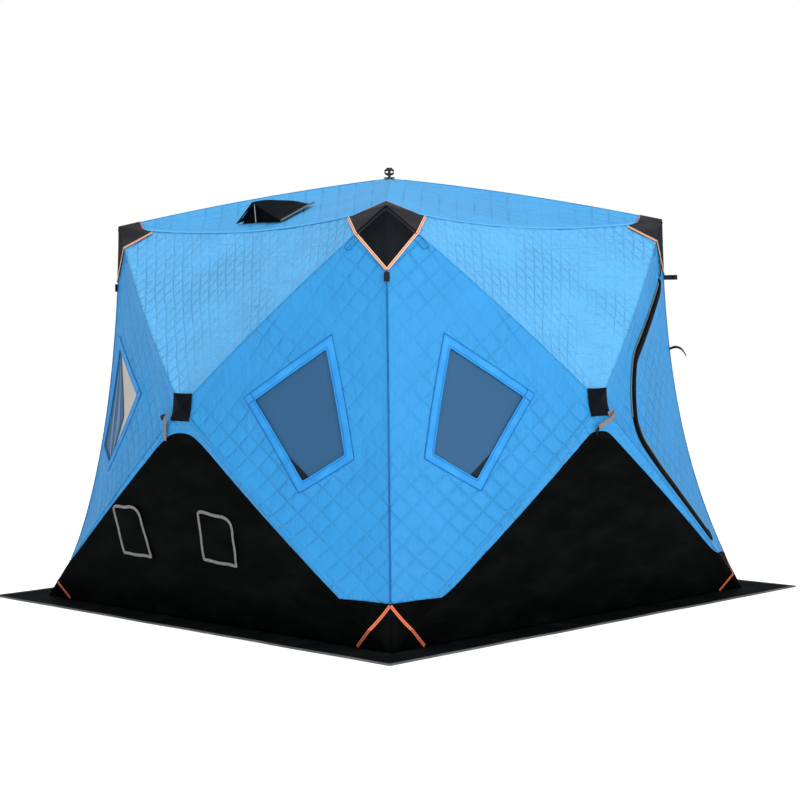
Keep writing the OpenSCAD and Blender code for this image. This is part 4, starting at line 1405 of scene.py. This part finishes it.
def skirt_strip(wall):
    u, v, faces = strip_net(skirt_columns, 12)
    inner = base - 0.006
    reach = inner + (skirt_reach + 0.002 - inner) * v
    x = (2 * u - 1) * reach
    wave = np.sin(x * 9 + wall * 1.7) * np.sin(x * 3.1 + v * 2.2 + wall) + 0.4 * np.sin(x * 23 + v * 5)
    z = 0.0030 + 0.0042 * v * (1 - 0.5 * v) * (1 + 0.75 * wave * hump(np.clip(u, 0, 1)) ** 0.4) * (v > 0)
    points = base_panel(wall).turned(np.stack([x, -reach, z], axis=1))
    return points, faces, np.stack([x, reach], axis=1)


def skirt_edge(wall):
    u, v, faces = strip_net(skirt_columns, 8)
    angle = v * 2 * math.pi
    reach = skirt_reach + 0.0010
    x = (2 * u - 1) * (reach + 0.0070 * np.cos(angle))
    wave = np.sin(x * 9 + wall * 1.7) * np.sin(x * 3.1 + 2.2 + wall)
    lift = 0.0052 + 0.0014 * wave * hump(u) ** 0.4
    points = np.stack([x, -reach - 0.0070 * np.cos(angle), lift + 0.0046 * np.sin(angle)], axis=1)
    return base_panel(wall).turned(points), faces, np.stack([x, v * 0.03], axis=1)


strips = [skirt_strip(wall) for wall in range(4)]
skirt = sewn("snow_skirt_cloth", strips, [skirt_black], slot="skirt_fabric", nodes=["snow_skirt"])


def closed_tube(name, parts, finish):
    """A tube needs no thickness, only its seam closed."""
    bm = joined(parts)
    bmesh.ops.remove_doubles(bm, verts=bm.verts, dist=0.0003)
    bmesh.ops.recalc_face_normals(bm, faces=bm.faces)
    piece = object_of(name, bm, [finish])
    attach(piece, "shelter")


closed_tube("snow_skirt_binding", [skirt_edge(wall) for wall in range(4)], edge_grey)
print("skirt reaches", skirt_reach, "m from the middle")

# %% Tie on the roof hub
turns = np.linspace(0.4, 5.9, 14)
ring = [np.array([math.cos(t), math.cos(t), 0]) * 0.017 + (0, 0, apex_z + 0.031 + 0.013 * math.sin(t)) for t in turns]
strap("roof_hub_tie", bent(ring, 0.004), 0.018, [0.60, -0.60, 0.53], black_webbing)

# %% [markdown]
# ## The frame's own finishes
# Poles, hubs and joints keep the shape they have in the construction model, which is exact, and
# get the finish of drawn glass fibre and moulded nylon.

# %% Finishes of the frame
for name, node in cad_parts.items():
    if node.hide_render:
        continue
    node.data.materials.clear()
    node.data.materials.append(pole_grey if "poles" in name else hub_black)
shown = [name for name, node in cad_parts.items() if not node.hide_render]
print("kept from the construction model:", shown)

# %% [markdown]
# ## Ice, sky and lamps
# A pale sky lights the shelter from all sides, so shadows are soft. One broad lamp on the right
# makes the wall by the door brighter than the one with the vents, and one above lights the
# roof. The ground is white and keeps only a faint shadow around the skirt.

# %% Ground and light
bpy.ops.mesh.primitive_plane_add(size=120, location=(0, 0, -0.0006))
ground = bpy.context.object
ground.name = "ground"
snow = Finish("white_ground", Roughness=1.0, Specular_IOR_Level=0.0)
spread = snow.noise(snow.node("TexCoord", "Object"), 0.5)
snow.feed("Base Color", snow.blend(spread, (0.96, 0.96, 0.96), (0.98, 0.98, 0.98)))
snow.shader.inputs["Emission Color"].default_value = (1, 1, 1, 1)
snow.shader.inputs["Emission Strength"].default_value = 0.55
ground.data.materials.append(snow.material)

world = bpy.data.worlds.new("sky")
bpy.context.scene.world = world
world.use_nodes = True
tree = world.node_tree
sky, seen = tree.nodes["Background"], tree.nodes.new("ShaderNodeBackground")
sky.inputs["Color"].default_value, sky.inputs["Strength"].default_value = (0.95, 0.975, 1.0, 1), 0.55
seen.inputs["Color"].default_value, seen.inputs["Strength"].default_value = (1, 1, 1, 1), 1.0
rays, choice = tree.nodes.new("ShaderNodeLightPath"), tree.nodes.new("ShaderNodeMixShader")
tree.links.new(rays.outputs["Is Camera Ray"], choice.inputs[0])
tree.links.new(sky.outputs[0], choice.inputs[1])
tree.links.new(seen.outputs[0], choice.inputs[2])
tree.links.new(choice.outputs[0], tree.nodes["World Output"].inputs["Surface"])


def lamp(name, place, target, power, size, tint=(1, 1, 1)):
    """A square lamp that looks at a point."""
    made = bpy.data.objects.new(name, bpy.data.lights.new(name, "AREA"))
    bpy.context.scene.collection.objects.link(made)
    made.data.energy, made.data.size, made.data.color = power, size, tint
    made.location = place
    made.rotation_euler = (Vector(target) - Vector(place)).to_track_quat("-Z", "Y").to_euler()
    return made


lamp("door_side_lamp", (8.5, -2.0, 4.2), (0.6, -0.4, 1.0), 350, 4)
lamp("sky_lamp", (0.5, -1.5, 7.5), (0, 0, 1.5), 200, 5)
lamp("front_lamp", (1.0, -9.0, 3.4), (0, -0.6, 1.0), 85, 4)

bpy.context.scene.view_settings.view_transform = "Standard"
